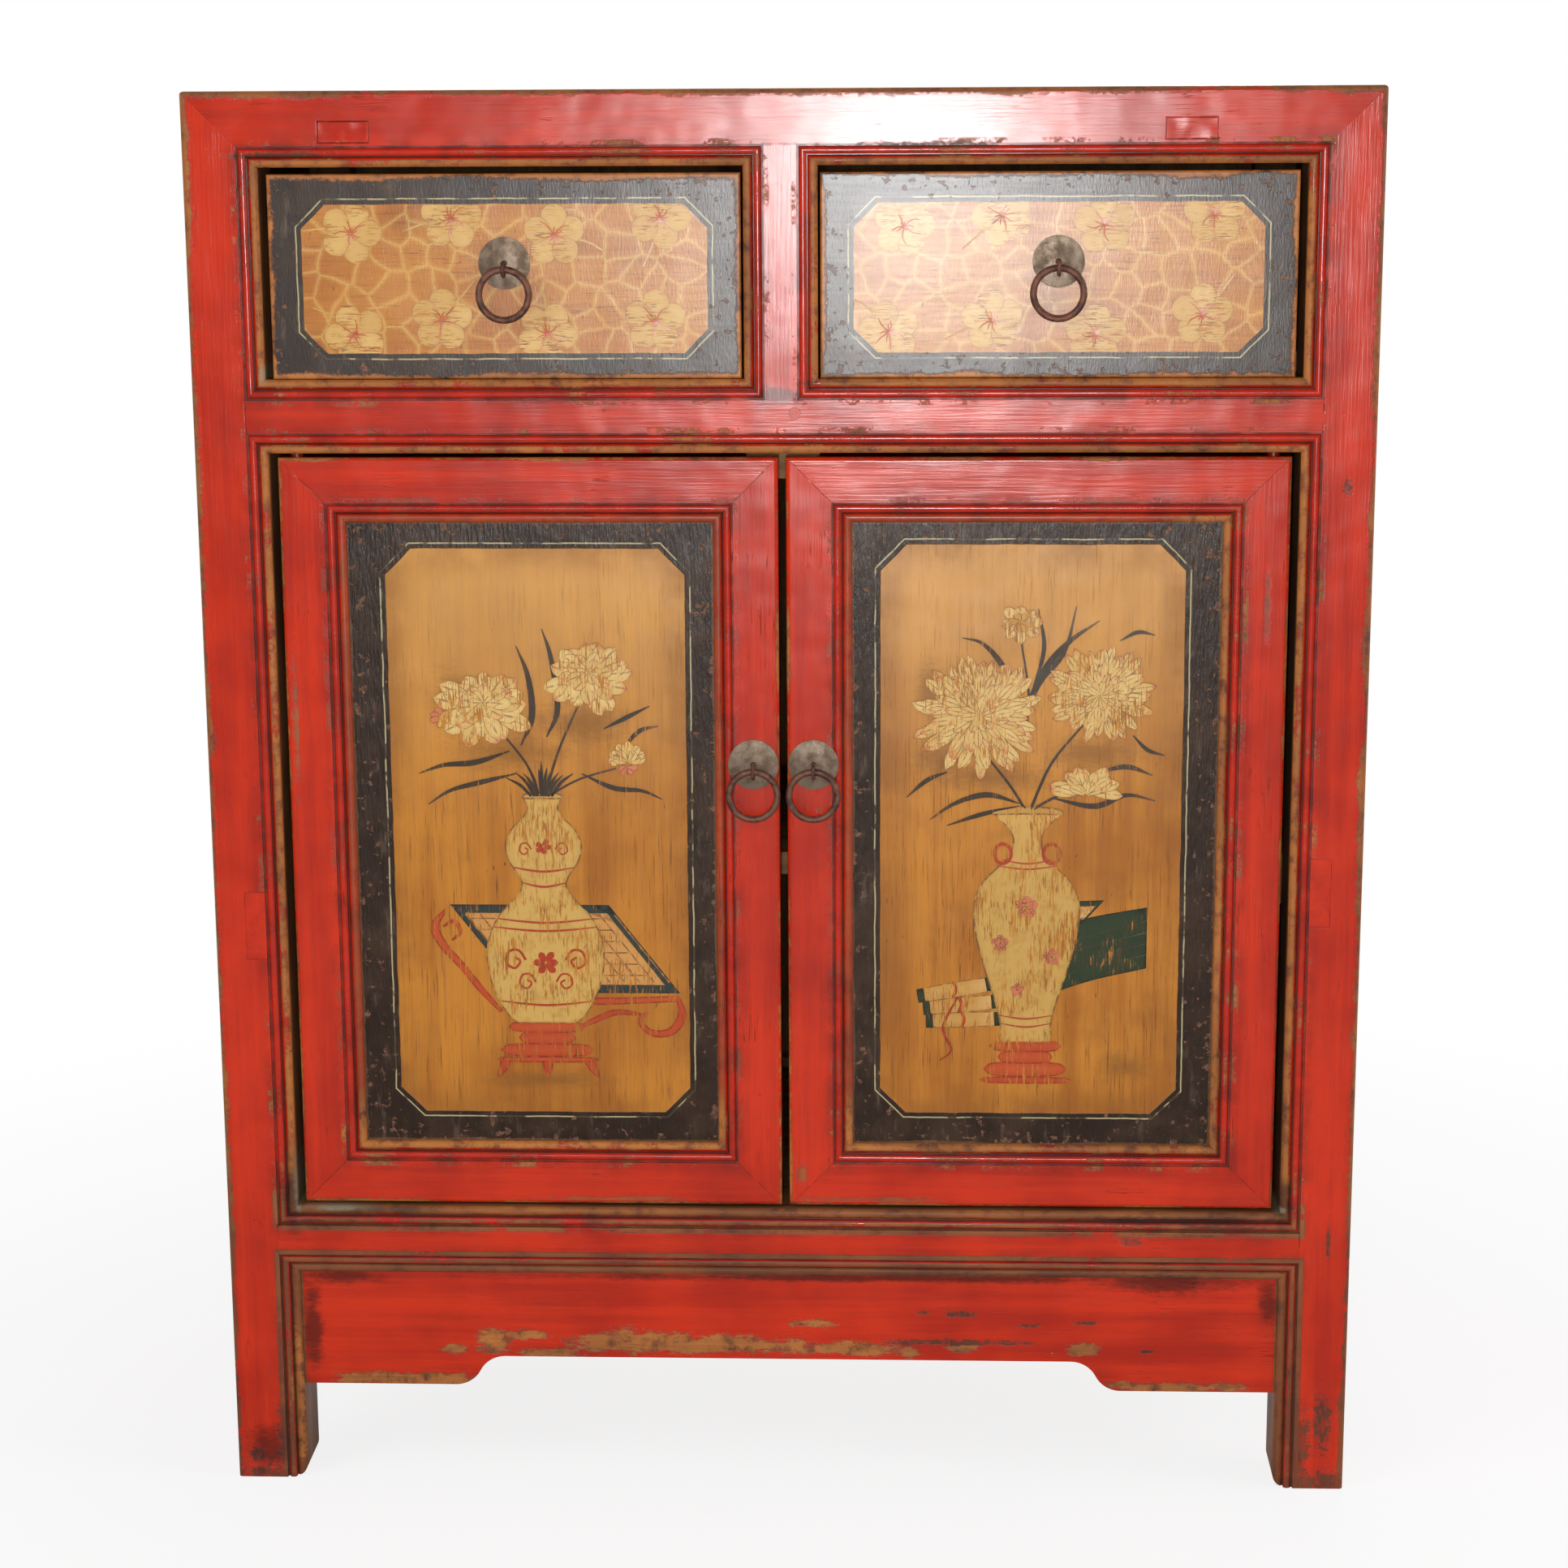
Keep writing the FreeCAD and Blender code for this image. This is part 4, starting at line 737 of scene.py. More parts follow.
def painted_drawer():
    made, place = new_material("painted_drawer_front")
    depth = most(split(place)[1] - DRAWER_FACE, 0.0)
    fold = abs(place) * FACE
    hx, hz, level = DRAWER_FIELD
    ground, streak, _ = amber_ground(place, *DRAWER_AMBER)
    ice, halo = ice_lines(place)
    amber = layers(
        ground, (halo * 0.24, paint(214, 168, 92)), ((1.0 - halo) * 0.3, paint(168, 88, 30)),
        (ice * 0.45, paint(214, 174, 104)),
    )
    field = cut_field(fold, (DRAWER_MIDDLE, 0, level), (hx, 0, hz), 16)
    rim = reach(fold, *DRAWER_FRONT) * -1.0
    painted, chips, _ = black_border(place, field, rim, amber, paint(54, 42, 36))
    edge = ragged_wear(place, corner_distance(rim, depth), 3.4)
    inner, _ = brush_streaks(place, ACROSS, *INNER_WOOD)
    colour = layers(painted, (edge, worn_wood(place, ACROSS)), (depth.fade(3, 5), inner))
    lost = most(edge, chips)
    height = (place * (1, 1, 0.25)).noise(0.9, 2) * 0.3 + place.noise(0.03, 1) * 1.8
    finish(colour, lost * 0.2 + (streak * 0.14 + 0.24), lost * -0.8 + height, coat=0.3, coat_roughness=0.24)
    return made


drawer_front_finish = painted_drawer()
print("painted grounds ready")

# %% [markdown]
# ## Bare wood
# Inside, the boards are old softwood, brown with age and dust. The grain runs along each board, so there are
# three of these finishes, one for each direction.

# %% Bare wood
def bare_wood(name, along):
    made, place = new_material(name)
    wood, streak = brush_streaks(place, along, paint(176, 130, 82), paint(126, 86, 50))
    cracks = hair_cracks(place, along, 0.25, 0.5)
    stain = place.noise(0.012, 3).fade(0.5, 0.7)
    colour = layers(wood, (stain * 0.5, paint(88, 62, 42)), (cracks * 0.7, paint(60, 38, 24)))
    finish(colour, streak * 0.15 + 0.62, cracks * -0.8 + streak)
    return made


wood_across = bare_wood("bare_wood_across", ACROSS)
wood_back = bare_wood("bare_wood_back", BACK)
wood_up = bare_wood("bare_wood_upright", UP)

# %% [markdown]
# ## Metal of the pulls
# The plates are a grey white metal, dulled and scratched. Rings and staples are iron wire, brown with rust, with
# darker pits. Both stay metallic, and the rust takes the metal's shine away where it lies.

# %% Plate metal and rusty iron
def plate_metal():
    made, place = new_material("tarnished_plate")
    fine, cross = (place * (0.12, 1, 1)).noise(2.6, 3), (place * (1, 1, 0.15)).noise(1.9, 3)
    cloud = place.noise(0.11, 3)
    tarnish = cloud.fade(0.3, 0.7)
    lines = most(fine, cross).fade(0.6, 0.72)
    specks = place.noise(0.9, 2).fade(0.68, 0.74)
    colour = mix(tarnish, paint(140, 122, 104), paint(104, 84, 66))
    colour = layers(colour, (lines * 0.45, paint(70, 56, 46)), (specks * 0.7, paint(60, 44, 34)))
    finish(colour, tarnish * 0.14 + 0.4, lines * -0.4 + cloud * 1.2, 0.00012, metallic=0.6)
    return made


def rusty_iron():
    made, place = new_material("rusty_iron")
    cloud, fine = place.noise(0.16, 4, 0.6), place.noise(1.1, 3)
    colour = mix(cloud.fade(0.4, 0.62), paint(122, 80, 64), paint(76, 50, 42))
    colour = mix(fine.fade(0.56, 0.7) * 0.6, colour, paint(142, 90, 66))
    height = fine.fade(0.34, 0.28) * -0.5 + (fine + cloud * 2.0)
    finish(colour, fine * 0.2 + 0.4, height, 0.00015, metallic=0.45)
    return made


plate_finish, iron_finish = plate_metal(), rusty_iron()

# %% Finishes on the CAD nodes
RULES = [  # each finish with ends of node names; the first rule with an end that fits counts
    (iron_finish, "_ring _staple"), (plate_finish, "_plate"),
    (painted_panels["left"], "left_panel"), (painted_panels["right"], "right_panel"),
    (red_door_upright, "outer_stile inner_stile"),
    (red_door_level, "left_top_rail right_top_rail left_bottom_rail right_bottom_rail"),
    (drawer_front_finish, "drawer_left_front drawer_right_front"),
    (red_level, "top_battens top_rail_front top_rail_rear drawer_rail_front bottom_rail_front apron_front"),
    (wood_across, "_battens left_back right_back left_bottom right_bottom drawer_rail_rear bottom_rail_rear"),
    (wood_across, "floor_board shelf_board stop_blocks"), (wood_up, "back_panels"),
    (wood_back, "left_sides right_sides shelf_ledgers drawer_runners drawer_guides"),
    (red_upright, "centre_stile joint_pegs post_front_left post_front_right post_rear_left post_rear_right"),
    (red_side_rails, "top_rails_side bottom_rails_side shelf_rails"), (red_side_panels, "side_panels"),
    (red_side_aprons, "aprons_side"), (red_top, "top_panel"),
]
for name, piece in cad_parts.items():
    piece.data.materials.clear()
    piece.data.materials.append(next(made for made, ends in RULES if name.endswith(tuple(ends.split()))))
print("finishes on", len(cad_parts), "CAD nodes")

# %% [markdown]
# ## Strokes of paint
# The pictures are built as a painter lays them down, in strokes. Each stroke is a small grid whose points are set
# along a smooth line, with a width that swells and tapers like the mark of a soft brush. A stroke lies a few
# hundredths of a millimetre over the panel, and later strokes lie over earlier ones. Each point also keeps its
# distance from the stroke's edge, which the paint uses for a drawn outline, and how far along the stroke it is.

# %% A smooth line and a picture made of strokes
LOWEST_LIFT, LEVEL_LIFT, STROKE_LIFT = 0.06, 0.07, 0.0015  # a stroke's height over the face, in millimetres
BATCH = 40  # so many strokes are joined at a time


def smooth_line(rows, count):
    """Points spaced along a smooth line through rows of (across, up, half width)."""
    rows = [Vector(row) for row in rows]
    rows = [rows[0] * 2 - rows[1]] + rows + [rows[-1] * 2 - rows[-2]]
    line = []
    for k in range(count + 1):
        part = k / count * (len(rows) - 3)
        first = min(int(part), len(rows) - 4)
        t = part - first
        a, b, c, d = rows[first:first + 4]
        bend = (2 * a - 5 * b + 4 * c - d) * t**2 + (3 * b - a - 3 * c + d) * t**3
        line.append(0.5 * (2 * b + (c - a) * t + bend))
    return line


class Picture:
    """Strokes on one painted face, which end as one thin piece."""

    def __init__(self, name, body, middle, face):
        self.name, self.body, self.middle, self.face = name, body, middle, face
        self.strokes, self.count = [], 0
        self.chance = random.Random(name)

    def stroke(self, paint_, rows, level=1, steps=8, columns=2, lean=None, ends=False):
        """One stroke along rows of (across, up, half width). Lean slants its ends, and ends draws them too."""
        deselect_all()
        bpy.ops.mesh.primitive_grid_add(x_subdivisions=columns, y_subdivisions=steps, size=2)
        made = bpy.context.object
        line = smooth_line(rows, steps)
        length = sum((b - a).xy.length for a, b in zip(line, line[1:]))
        lift = LOWEST_LIFT + LEVEL_LIFT * level + STROKE_LIFT * (self.count % BATCH)
        marks = made.data.attributes.new("brush", "FLOAT_COLOR", "POINT")
        shade = self.chance.random()
        for point, mark in zip(made.data.vertices, marks.data):
            side, k = point.co.x, round((point.co.y + 1) / 2 * steps)
            here = line[k]
            ahead = (line[min(k + 1, steps)] - line[max(k - 1, 0)]).xy.normalized()
            across = Vector(lean) if lean else Vector((ahead.y, -ahead.x))
            half = max(here.z, 0.03)
            spot = here.xy + across * side * half
            point.co = [v * MM for v in (
                self.middle[0] + spot.x, self.face - lift - 0.02 * side, self.middle[1] + spot.y,
            )]
            inside = half * (1 - abs(side))
            if ends:
                inside = min(inside, length * min(k, steps - k) / steps)
            mark.color = (min(inside / 20, 1), k / steps, shade, abs(side))
        made.data.materials.append(paint_)
        self.strokes.append(made)
        self.count += 1
        if len(self.strokes) == BATCH:
            self.gather()

    def fan(
        self, paint_, middle, radius, count, width, start=0.1, squash=1.0, spread=(0, 360), level=2, tip=0.06
    ):
        """Petals round a middle, or over part of a turn. Width and start are shares of the radius."""
        first, last = (math.radians(v) for v in spread)
        whole = spread[1] - spread[0] >= 360
        for k in range(count):
            share = (k + self.chance.uniform(-0.12, 0.12)) / (count if whole else max(count - 1, 1))
            angle = first + (last - first) * share
            reach = radius * self.chance.uniform(0.86, 1.1)
            bend = self.chance.uniform(-0.22, 0.22)
            rows = []
            rest = 1 - start
            for part, wide in ((start, 0.4), (start + rest * 0.5, 0.92), (start + rest * 0.82, 0.78), (1, tip)):
                turn = angle + bend * part
                rows.append((
                    middle[0] + math.cos(turn) * reach * part, middle[1] + math.sin(turn) * reach * part * squash,
                    width * radius * wide,
                ))
            self.stroke(paint_, rows, level, steps=6)

    def gather(self):
        """Joins the loose strokes, which keeps the scene quick to work in."""
        deselect_all()
        for made in self.strokes:
            made.select_set(True)
        bpy.context.view_layer.objects.active = self.strokes[0]
        bpy.ops.object.join()
        self.strokes = [bpy.context.object]

    def join(self):
        """Makes the strokes one piece, which rides on the face's body."""
        self.gather()
        piece = self.strokes[0]
        piece.name = piece.data.name = self.name
        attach(piece, self.body)
        print(self.name, self.count, "strokes,", len(piece.data.polygons), "faces")
        return piece


# %% Paints of the pictures
def picture_paint(name, light, dark, outline, tip, ground_values, worn=0.5, line_width=0.75, vein=0.0):
    """Thin old paint with a drawn outline and coloured tips, rubbed through to the amber ground."""
    made, place = new_material(name)
    brush = new_node("Attribute", tree=place.tree, attribute_name="brush").outputs
    inside, share, chance = wires(new_node("SeparateColor", Wire(brush["Color"])))
    edge = inside * 20.0
    ground, _, _ = amber_ground(place, *ground_values)
    light, dark, outline, tip = (paint(*colour) for colour in (light, dark, outline, tip))
    shade = most(edge.fade(6, 0), place.noise(0.08, 4, 0.65).fade(0.5, 0.68))
    tipped = share.fade(0.6, 1.0) * chance.fade(0.1, 0.7)
    drawn = most(edge.fade(line_width, line_width * 0.4) * 0.85, Wire(brush["Alpha"]).fade(0.2, 0.06) * vein)
    drawn = drawn * place.noise(0.16, 4, 0.65).fade(0.36, 0.56)
    colour = mix(chance * 0.6, light, dark)
    colour = layers(colour, (shade * 0.5, dark), (tipped * 0.85, tip), (drawn, outline))
    stretched = place * ((1, 1, 0.09) if ground_values is DOOR_AMBER else (0.09, 1, 1))
    scratch = stretched.noise(0.9, 4, 0.65)
    patch = place.noise(0.05, 3)
    gone = (patch * 0.4 + scratch * 0.85).fade(0.78 - 0.16 * worn, 0.86 - 0.16 * worn)
    dark_lines = stretched.noise(1.3, 3, 0.6).fade(0.56, 0.64) * patch.fade(0.42, 0.58)
    colour = layers(colour, (gone, ground), (dark_lines * 0.75, paint(104, 62, 26)))
    finish(colour, scratch * 0.16 + 0.24, scratch * 0.5 + place.noise(0.03, 1) * 1.8, coat=0.25)
    return made


BROWN_LINE = (92, 48, 26)
cream = picture_paint(
    "paint_cream", (228, 196, 126), (202, 156, 82), BROWN_LINE, (206, 108, 68), DOOR_AMBER, 0.85, 0.6, 0.6
)
glaze_cream = picture_paint(
    "paint_glaze", (208, 168, 88), (180, 132, 54), BROWN_LINE, (206, 160, 80), DOOR_AMBER, 0.85, 1.5
)
straw = picture_paint(
    "paint_straw", (204, 158, 80), (184, 130, 56), BROWN_LINE, (214, 168, 104), DOOR_AMBER, 0.8, 0.8
)
ink = picture_paint("paint_ink", (44, 36, 30), (70, 56, 40), (30, 24, 20), (96, 74, 50), DOOR_AMBER, 0.36, 0.2)
red_paint = picture_paint(
    "paint_red", (194, 82, 28), (168, 50, 14), (136, 32, 10), (190, 98, 38), DOOR_AMBER, 0.75, 1.2
)
scroll_red = picture_paint(
    "paint_scroll_red", (186, 58, 22), (166, 46, 18), (142, 36, 14), (180, 76, 34), DOOR_AMBER, 0.75, 0.2
)
teal = picture_paint("paint_teal", (50, 64, 58), (38, 48, 44), (24, 26, 24), (44, 58, 52), DOOR_AMBER, 0.5, 1.0)
wash = picture_paint(
    "paint_wash", (208, 150, 78), (194, 132, 62), (150, 92, 44), (204, 146, 74), DOOR_AMBER, 0.7, 0.6
)
green_paint = picture_paint(
    "paint_green", (46, 60, 32), (34, 50, 30), (24, 30, 24), (54, 66, 38), DOOR_AMBER, 0.3, 1.2
)
pink_paint = picture_paint(
    "paint_pink", (214, 130, 92), (196, 104, 72), BROWN_LINE, (206, 92, 64), DOOR_AMBER, 0.5
)
print("paints ready")

# %% [markdown]
# ## Pictures on the doors
# Vases of flowers with a scholar's things beside them are an old and common theme on painted furniture: they wish
# the house peace and learning. These two follow that tradition with a design of their own. Millimetres are measured
# from the middle of each amber field. A picture is laid down from the back: table or box, then vase, then flowers.

# %% Shapes that several pictures share
def turned(middle, reach, angle):
    """The point at a reach from a middle, in the direction of an angle."""
    return middle[0] + reach * math.cos(angle), middle[1] + reach * math.sin(angle)


def draw_stand(draw, middle, boards):
    """Boards across a middle, each with its height and half its length and thickness."""
    for up, half, thick in boards:
        ends = ((-1, 0.6), (-0.7, thick), (0.7, thick), (1, 0.6))
        draw(red_paint, [(middle + half * part, up, wide) for part, wide in ends], 3, 12, 4)


# %% Left door: a gourd vase with two peonies
left_picture = Picture("door_left_picture", "door_left", DOOR_FIELDS["left"][:2], PANEL_FACE)
draw, fan = left_picture.stroke, left_picture.fan
lean = (0.774, -1)
draw(teal, [(-40, -82, 32), (16, -82, 32), (72, -82, 32)], 0, 8, 8, lean, True)
draw(wash, [(-34, -82, 26), (16, -82, 26), (66, -82, 26)], 1, 8, 8, lean, True)
for k in range(11):
    along = -54 + 10.5 * k
    draw(straw, [(along, -57, 0.45), (along + 38, -106, 0.45)], 2, 6, 2)
for k in range(6):
    drop = 8.2 * k
    draw(straw, [(-50 + drop * 0.774, -60 - drop, 0.45), (43 + drop * 0.774, -60 - drop, 0.45)], 2, 8, 2)
for steps, rows in (  # the edge and the curled legs of the table
    (12, [(-14, -119, 2.2), (40, -120, 2.6), (96, -118, 2.2)]),
    (18, [(-68, -54, 1), (-76, -66, 3.2), (-70, -80, 3), (-58, -94, 2.6), (-44, -112, 2.4), (-30, -128, 1.4)]),
    (10, [(-70, -66, 0.8), (-62, -62, 1.6), (-58, -70, 1.6), (-64, -76, 0.8)]),
    (18, [(95, -117, 1.2), (98, -130, 3.2), (90, -142, 3), (76, -143, 2.4), (68, -134, 1.8), (74, -128, 1)]),
    (12, [(72, -130, 0.8), (52, -128, 2.2), (36, -134, 2.2), (24, -140, 1)]),
):
    draw(red_paint, rows, 1, steps)
draw_stand(draw, 2, ((-139, 27, 4), (-147, 20, 4.5), (-156, 33, 4.5), (-163, 36, 2)))
for foot in (-28, 2, 32):
    draw(red_paint, [(foot, -164, 4), (foot * 1.08, -170, 3), (foot * 1.2, -176, 0.8)], 3, 6)
GOURD = (  # height and half width
    (-136, 21), (-131, 27), (-118, 35), (-98, 41), (-78, 41), (-60, 34), (-46, 22), (-37, 16), (-29, 18), (-18, 25),
    (-6, 27), (5, 22), (13, 14), (20, 11), (27, 14),
)
draw(glaze_cream, [(2, *row) for row in GOURD], 4, 60, 16, None, True)
draw(glaze_cream, [(-12, 27, 0.6), (-9, 28, 2.2), (2, 28.5, 2.6), (13, 28, 2.2), (16, 27, 0.6)], 5, 10, 2)
for up, half in ((-62, 33), (-68, 36), (-122, 32), (-36, 15), (-25, 21)):
    arc = ((-1, 2, 0.4), (-0.5, 0, 0.7), (0, -1, 0.8), (0.5, 0, 0.7), (1, 2, 0.4))
    draw(scroll_red, [(2 + half * part, up + rise, wide) for part, rise, wide in arc], 6, 14)
for turn in (-1, 1):
    for across, up, size in ((20, -90, 1.0), (12, -106, 0.8), (12, -10, 0.6)):
        scroll = [(0, 0), (5, 7), (12, 6), (14, -2), (8, -6), (4, -1), (8, 2)]
        rows = [(2 + turn * (across + size * (u - 6)), up + size * v, 0.9 * size) for u, v in scroll]
        draw(scroll_red, rows, 6, 22)
fan(scroll_red, (2, -92), 9, 6, 0.3, level=6)
fan(scroll_red, (2, -8), 6, 5, 0.34, level=6)

for rows in (  # stems and long leaves
    [(0, 28, 1), (-8, 50, 0.8), (-26, 74, 0.7)], [(4, 28, 1), (14, 60, 0.8), (30, 96, 0.7)],
    [(6, 28, 0.9), (28, 40, 0.7), (54, 48, 0.6)],
    [(-12, 64, 0.4), (-4, 84, 2.2), (-6, 112, 1.8), (-14, 134, 0.3)],
    [(6, 70, 0.4), (14, 90, 2), (10, 126, 1.6), (4, 146, 0.3)],
    [(-20, 60, 0.4), (-44, 52, 2), (-66, 50, 1.4), (-84, 44, 0.3)],
    [(-16, 44, 0.4), (-40, 38, 1.8), (-62, 32, 1.2), (-78, 22, 0.3)],
    [(30, 44, 0.4), (52, 34, 1.8), (72, 32, 1.2), (86, 26, 0.3)], [(58, 60, 0.4), (70, 74, 1.6), (84, 78, 0.3)],
    [(46, 76, 0.4), (62, 84, 1.6), (78, 92, 0.3)],
):
    draw(ink, rows, 5, 14)
for k in range(13):
    bend = -24 + 4 * k + left_picture.chance.uniform(-2, 2)
    tall = 22 - abs(bend) * 0.35 + left_picture.chance.uniform(-3, 3)
    draw(ink, [(bend * 0.3 + 2, 28, 0.9), (bend * 0.6 + 2, 28 + tall * 0.6, 1.1), (bend + 2, 28 + tall, 0.2)], 6, 6)
for middle, radius in (((-38, 90), 35), ((36, 112), 31)):
    for rise, share, *petals, level in (
        (0, 1, 13, 0.2, 0.2, 0.82, 7), (2, 0.78, 11, 0.22, 0.15, 0.85, 8), (3, 0.54, 9, 0.26, 0.1, 0.85, 9),
        (4, 0.32, 6, 0.34, 0.05, 0.9, 10),
    ):
        fan(cream, (middle[0], middle[1] + rise), radius * share, *petals, level=level)
for paint_, *petals, width, turn, level in (
    (pink_paint, (-66, 84), 9, 4, 0.3, (120, 240), 6), (cream, (62, 54), 15, 7, 0.26, (0, 180), 7),
    (cream, (62, 52), 11, 5, 0.32, (20, 160), 8), (pink_paint, (62, 49), 7, 4, 0.36, (200, 340), 7),
):
    fan(paint_, *petals, width, 0.1, 0.9, turn, level)
left_picture.join()

# %% Right door: a baluster vase with two round flowers
right_picture = Picture("door_right_picture", "door_right", DOOR_FIELDS["right"][:2], PANEL_FACE)
draw, fan = right_picture.stroke, right_picture.fan
draw(green_paint, [(12, -92, 24), (44, -82, 23), (82, -74, 22)], 0, 8, 8, (0, -1), True)
draw(green_paint, [(-6, -58, 9), (44, -56, 9)], 0, 8, 4, (0.9, 1), True)
draw(straw, [(2, -58, 5), (42, -56, 5)], 1, 8, 4, (0.9, 1), True)
for k in range(4):
    draw(ink, [(14, -80 - 8 * k, 0.35), (82, -62 - 8 * k, 0.35)], 1, 10)
for across, up, slope in ((-50, -112, 0.18), (-46, -123, 0.1), (-44, -134, 0.04)):  # rolled scrolls
    roll = [(across + k, up + k * slope, half) for k, half in ((-26, 5.2), (0, 5.6), (24, 5.2))]
    draw(straw, roll, 1, 10, 4, None, True)
    for end in (-26, 22):
        draw(green_paint, [(across + k, up + k * slope, 5) for k in (end - 2, end + 3)], 2, 3, 3, None, True)
    draw(red_paint, [(across - 3, up - 6, 1), (across - 1, up, 1.2), (across - 3, up + 6, 1)], 2, 5)
draw(red_paint, [(-50, -118, 0.7), (-60, -140, 1), (-54, -156, 0.8), (-62, -164, 0.3)], 3, 14)
draw_stand(draw, -2, ((-153, 25, 4), (-161, 19, 4.5), (-170, 29, 5), (-178, 32, 2.4)))
BALUSTER = (
    (-150, 17), (-146, 19), (-138, 18), (-120, 22), (-95, 30), (-70, 36), (-50, 37), (-36, 32), (-25, 22), (-16, 13),
    (-6, 10), (2, 12), (9, 18), (15, 24),
)
draw(glaze_cream, [(-2, *row) for row in BALUSTER], 4, 60, 16, None, True)
draw(glaze_cream, [(-27, 14, 0.6), (-22, 16, 2.4), (-2, 17, 3), (18, 16, 2.4), (23, 14, 0.6)], 5, 12, 2)
for up, half in ((-20, 17), (-24, 21), (-132, 19), (-138, 17.5)):
    draw(scroll_red, [(-2 - half, up + 1.5, 0.3), (-2, up - 1, 0.6), (-2 + half, up + 1.5, 0.3)], 6, 14)
for turn in (-1, 1):
    angles = [k * math.pi / 4 for k in range(8)]
    ring = [(-2 + turn * (17 + 6 * math.cos(a)), -14 + 7 * math.sin(a), 1.1) for a in angles]
    draw(scroll_red, ring + ring[:1], 6, 24)
for middle, radius in (((-2, -52), 8), ((-20, -78), 6), ((16, -88), 6), ((-8, -112), 5)):
    for k in range(5):
        dot = turned(middle, radius * 0.62, math.radians(90 + 72 * k))
        fan(pink_paint, dot, radius * 0.42, 5, 0.5, 0.02, level=6, tip=0.6)
    draw(red_paint, [(middle[0] + k, middle[1], half) for k, half in ((-1, 0.3), (0, 1), (1, 0.3))], 7, 4)
for rows in (  # stems and leaves
    [(-4, 18, 1), (-14, 34, 0.9), (-28, 52, 0.7)], [(0, 18, 1), (14, 50, 0.9), (36, 78, 0.7)],
    [(2, 18, 1), (16, 26, 0.9), (34, 34, 0.7)], [(-6, 60, 0.8), (-2, 96, 0.8), (-8, 138, 0.6)],
    [(-4, 92, 0.4), (10, 118, 2.2), (26, 136, 1.6), (46, 150, 0.3)],
    [(-4, 84, 0.4), (6, 108, 1.8), (22, 128, 1.4), (30, 160, 0.3)],
    [(-12, 96, 0.4), (-20, 118, 2), (-34, 134, 1.2), (-48, 138, 0.3)],
    [(0, 100, 0.4), (8, 130, 1.5), (4, 158, 0.3)], [(-8, 22, 0.4), (-30, 28, 2), (-52, 22, 1.4), (-70, 10, 0.3)],
    [(-8, 20, 0.4), (-34, 14, 1.6), (-58, 6, 0.3)],
    [(14, 26, 0.4), (44, 20, 2), (66, 28, 1.4), (86, 24, 0.3)], [(46, 44, 0.4), (66, 48, 1.8), (84, 42, 0.3)],
    [(-58, 44, 0.4), (-72, 38, 1.6), (-86, 26, 0.3)], [(70, 70, 0.4), (80, 60, 1.4), (92, 56, 0.3)],
    [(60, 136, 0.3), (72, 142, 1.4), (84, 140, 0.3)],
):
    draw(ink, rows, 5, 14)
for middle, radius in (((-36, 84), 45), ((47, 98), 36)):
    for level, share, *petals in (
        (7, 1, 26, 0.1, 0.35), (8, 0.88, 22, 0.11, 0.3), (9, 0.7, 19, 0.12, 0.2), (10, 0.52, 15, 0.15, 0.1),
        (11, 0.32, 9, 0.24, 0.05),
    ):
        fan(cream, middle, radius * share, *petals, 0.96, level=level)
for up, *petals, squash, turn, level in (
    (30, 25, 9, 0.17, 0.8, (0, 180), 7), (29, 19, 7, 0.2, 0.9, (15, 165), 8), (28, 12, 5, 0.26, 0.9, (30, 150), 9),
):
    fan(cream, (38, up), *petals, 0.1, squash, turn, level)
fan(cream, (-8, 148), 15, 8, 0.3, 0.1, 0.9, level=7)
fan(straw, (-8, 149), 9, 6, 0.36, 0.1, 0.9, level=8)
right_picture.join()

# %% [markdown]
# ## Blossoms on the drawers
# Plum blossoms on cracked ice are a traditional pattern for the end of winter. One blossom is drawn once as a set
# of rows, turned and moved for each place, and the petals that run over the edge of the amber field are cut there
# with bisect, as a mask cuts them when the border is painted last.

# %% Plum blossoms
petal_paint = picture_paint(
    "paint_petal", (216, 174, 100), (198, 148, 76), (170, 110, 52), (204, 158, 84), DRAWER_AMBER, 0.75
)
stamen_paint = picture_paint(
    "paint_stamen", (204, 86, 50), (194, 98, 62), (196, 88, 54), (202, 98, 60), DRAWER_AMBER, 0.4
)
twig_paint = picture_paint(
    "paint_twig", (214, 176, 102), (200, 156, 84), (186, 136, 70), (210, 170, 96), DRAWER_AMBER, 0.4
)
INSET, CUT = 0.4, 16.5  # how far inside the field's sides and corners the blossoms end
BLOSSOMS = {
    "left": [(-103, 31), (-35, 40), (34, 29), (105, 40), (-102, -37), (-43, -27), (28, -36), (101, -28)],
    "right": [(-103, 34), (-38, 41), (30, 35), (103, 41), (-113, -36), (-44, -28), (25, -38), (96, -25)],
}


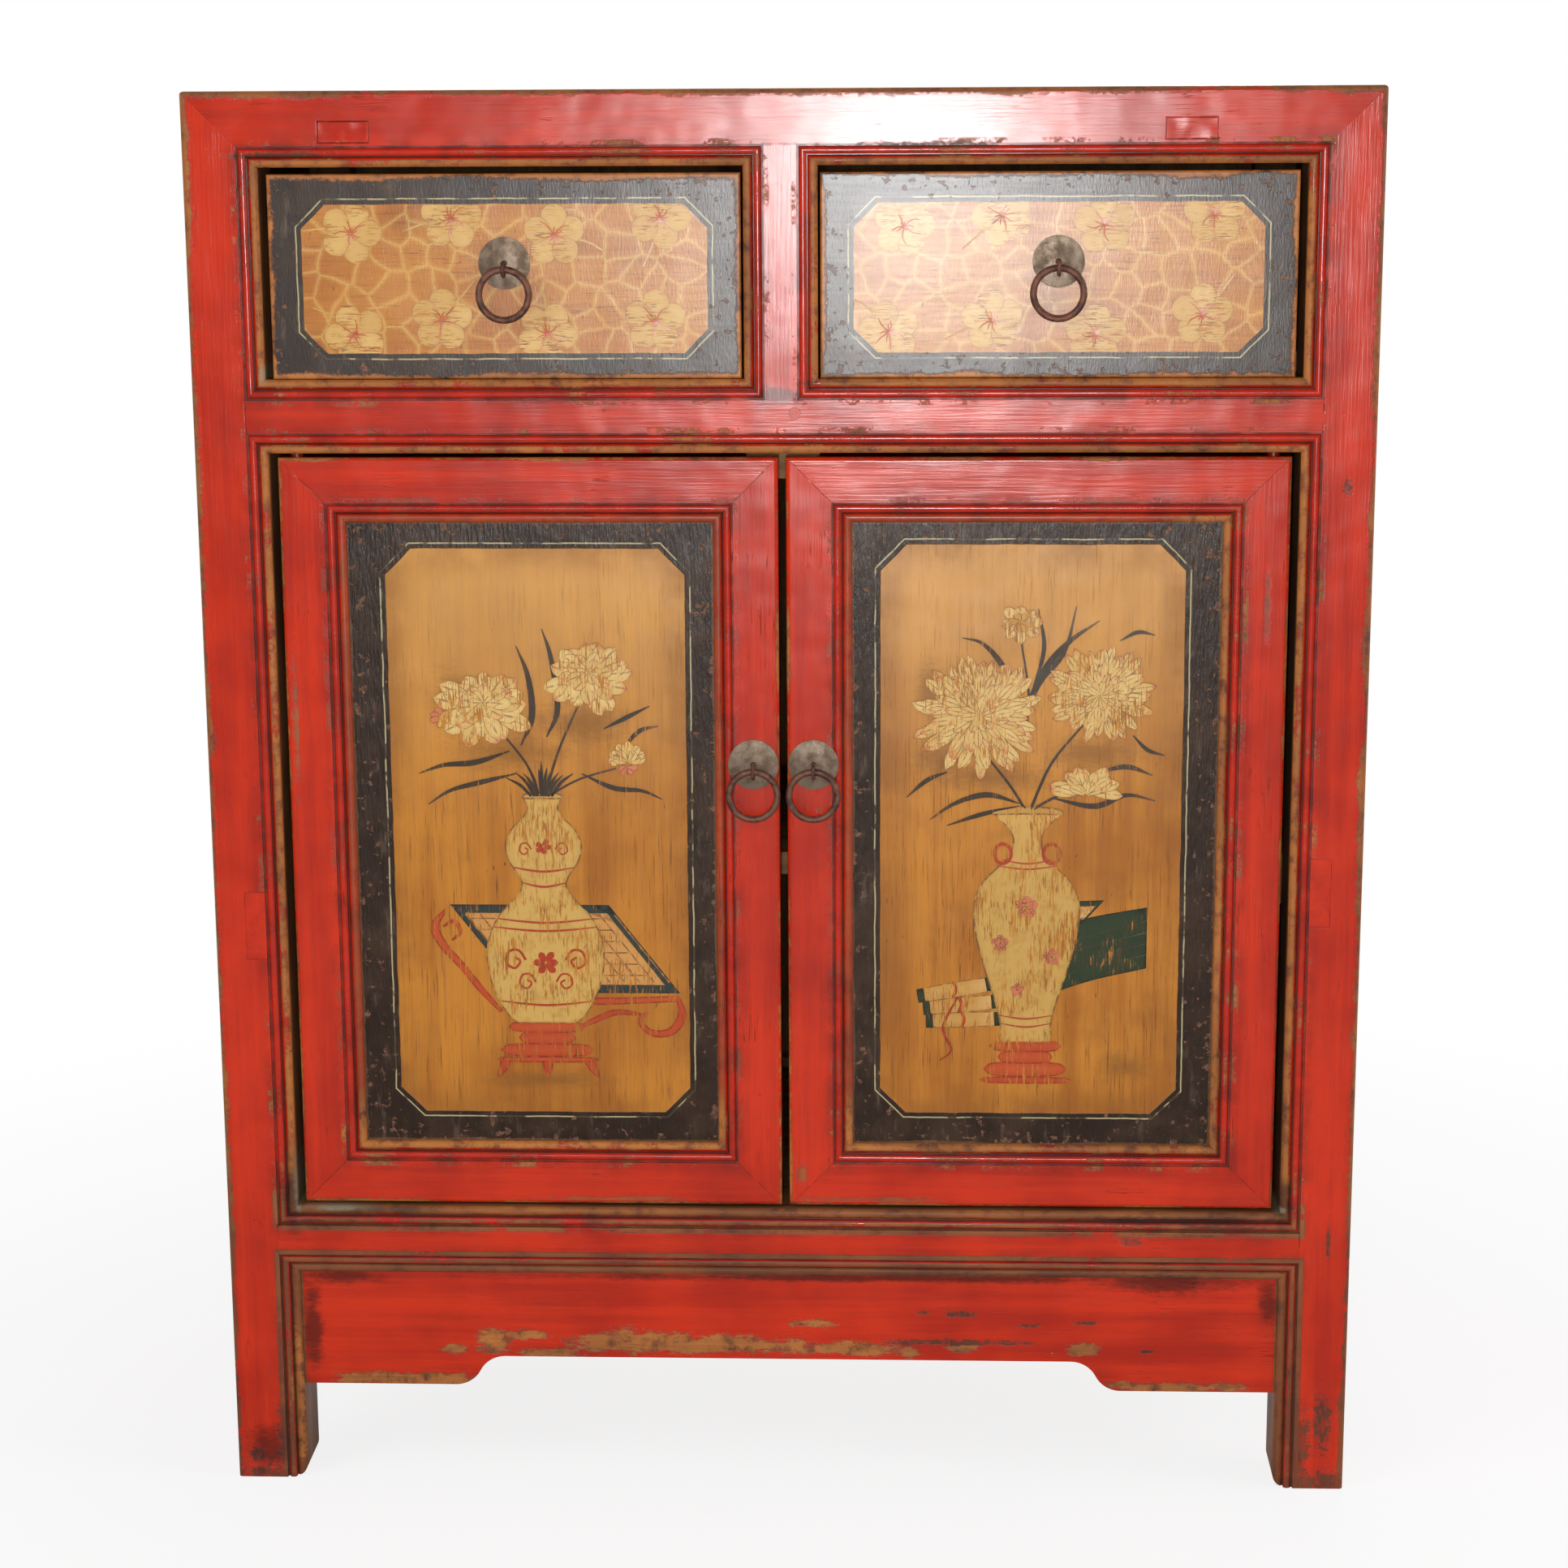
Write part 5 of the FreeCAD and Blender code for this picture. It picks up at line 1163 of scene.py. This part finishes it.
def trim(piece, point, outward):
    """Cuts away what lies beyond a plane."""
    deselect_all()
    piece.select_set(True)
    bpy.context.view_layer.objects.active = piece
    bpy.ops.object.mode_set(mode="EDIT")
    bpy.ops.mesh.select_all(action="SELECT")
    bpy.ops.mesh.bisect(plane_co=point, plane_no=outward, clear_outer=True)
    bpy.ops.object.mode_set(mode="OBJECT")


for side, spots in BLOSSOMS.items():
    middle = (math.copysign(DRAWER_MIDDLE, -1 if side == "left" else 1), DRAWER_FIELD[2])
    pattern = Picture(f"drawer_{side}_blossoms", f"drawer_{side}", middle, DRAWER_FACE)
    for spot in spots:
        tilt = pattern.chance.uniform(0, 72)
        twig = math.radians(tilt + 36 + 72 * pattern.chance.randrange(5))
        bend = [v + 2 for v in turned(spot, 20, twig)]
        pattern.stroke(twig_paint, [(*spot, 1), (*bend, 0.8), (*turned(spot, 34, twig), 0.4)], 0, 6)
        for k in range(5):
            angle = math.radians(tilt + 72 * k)
            petal = ((2, 1.2), (6, 6.2), (11, 8.8), (16, 8.2), (19.3, 5), (20.8, 1.4))
            rows = [(*turned(spot, out, angle), half) for out, half in petal]
            pattern.stroke(petal_paint, rows, 1 + k % 3, steps=10, columns=4)
        for k in range(10):
            angle = math.radians(tilt + 36 * k + pattern.chance.uniform(-8, 8))
            out = pattern.chance.uniform(7, 13) if k % 2 else pattern.chance.uniform(3, 7)
            wave = angle + pattern.chance.uniform(-0.3, 0.3)
            rows = [(*spot, 0.4), (*turned(spot, out * 0.6, angle), 0.38), (*turned(spot, out, wave), 0.2)]
            pattern.stroke(stamen_paint, rows, 5, steps=4)
    piece = pattern.join()
    hx, hz, level = DRAWER_FIELD
    for sx, sz, out in ((1, 0, hx), (-1, 0, hx), (0, 1, hz), (0, -1, hz)):
        point = ((middle[0] + sx * (out - INSET)) * MM, 0, (level + sz * (out - INSET)) * MM)
        trim(piece, point, (sx, 0, sz))
    for sx, sz in ((-1, -1), (-1, 1), (1, -1), (1, 1)):
        point = ((middle[0] + sx * (hx - CUT)) * MM, 0, (level + sz * hz) * MM)
        trim(piece, point, (sx, 0, sz))
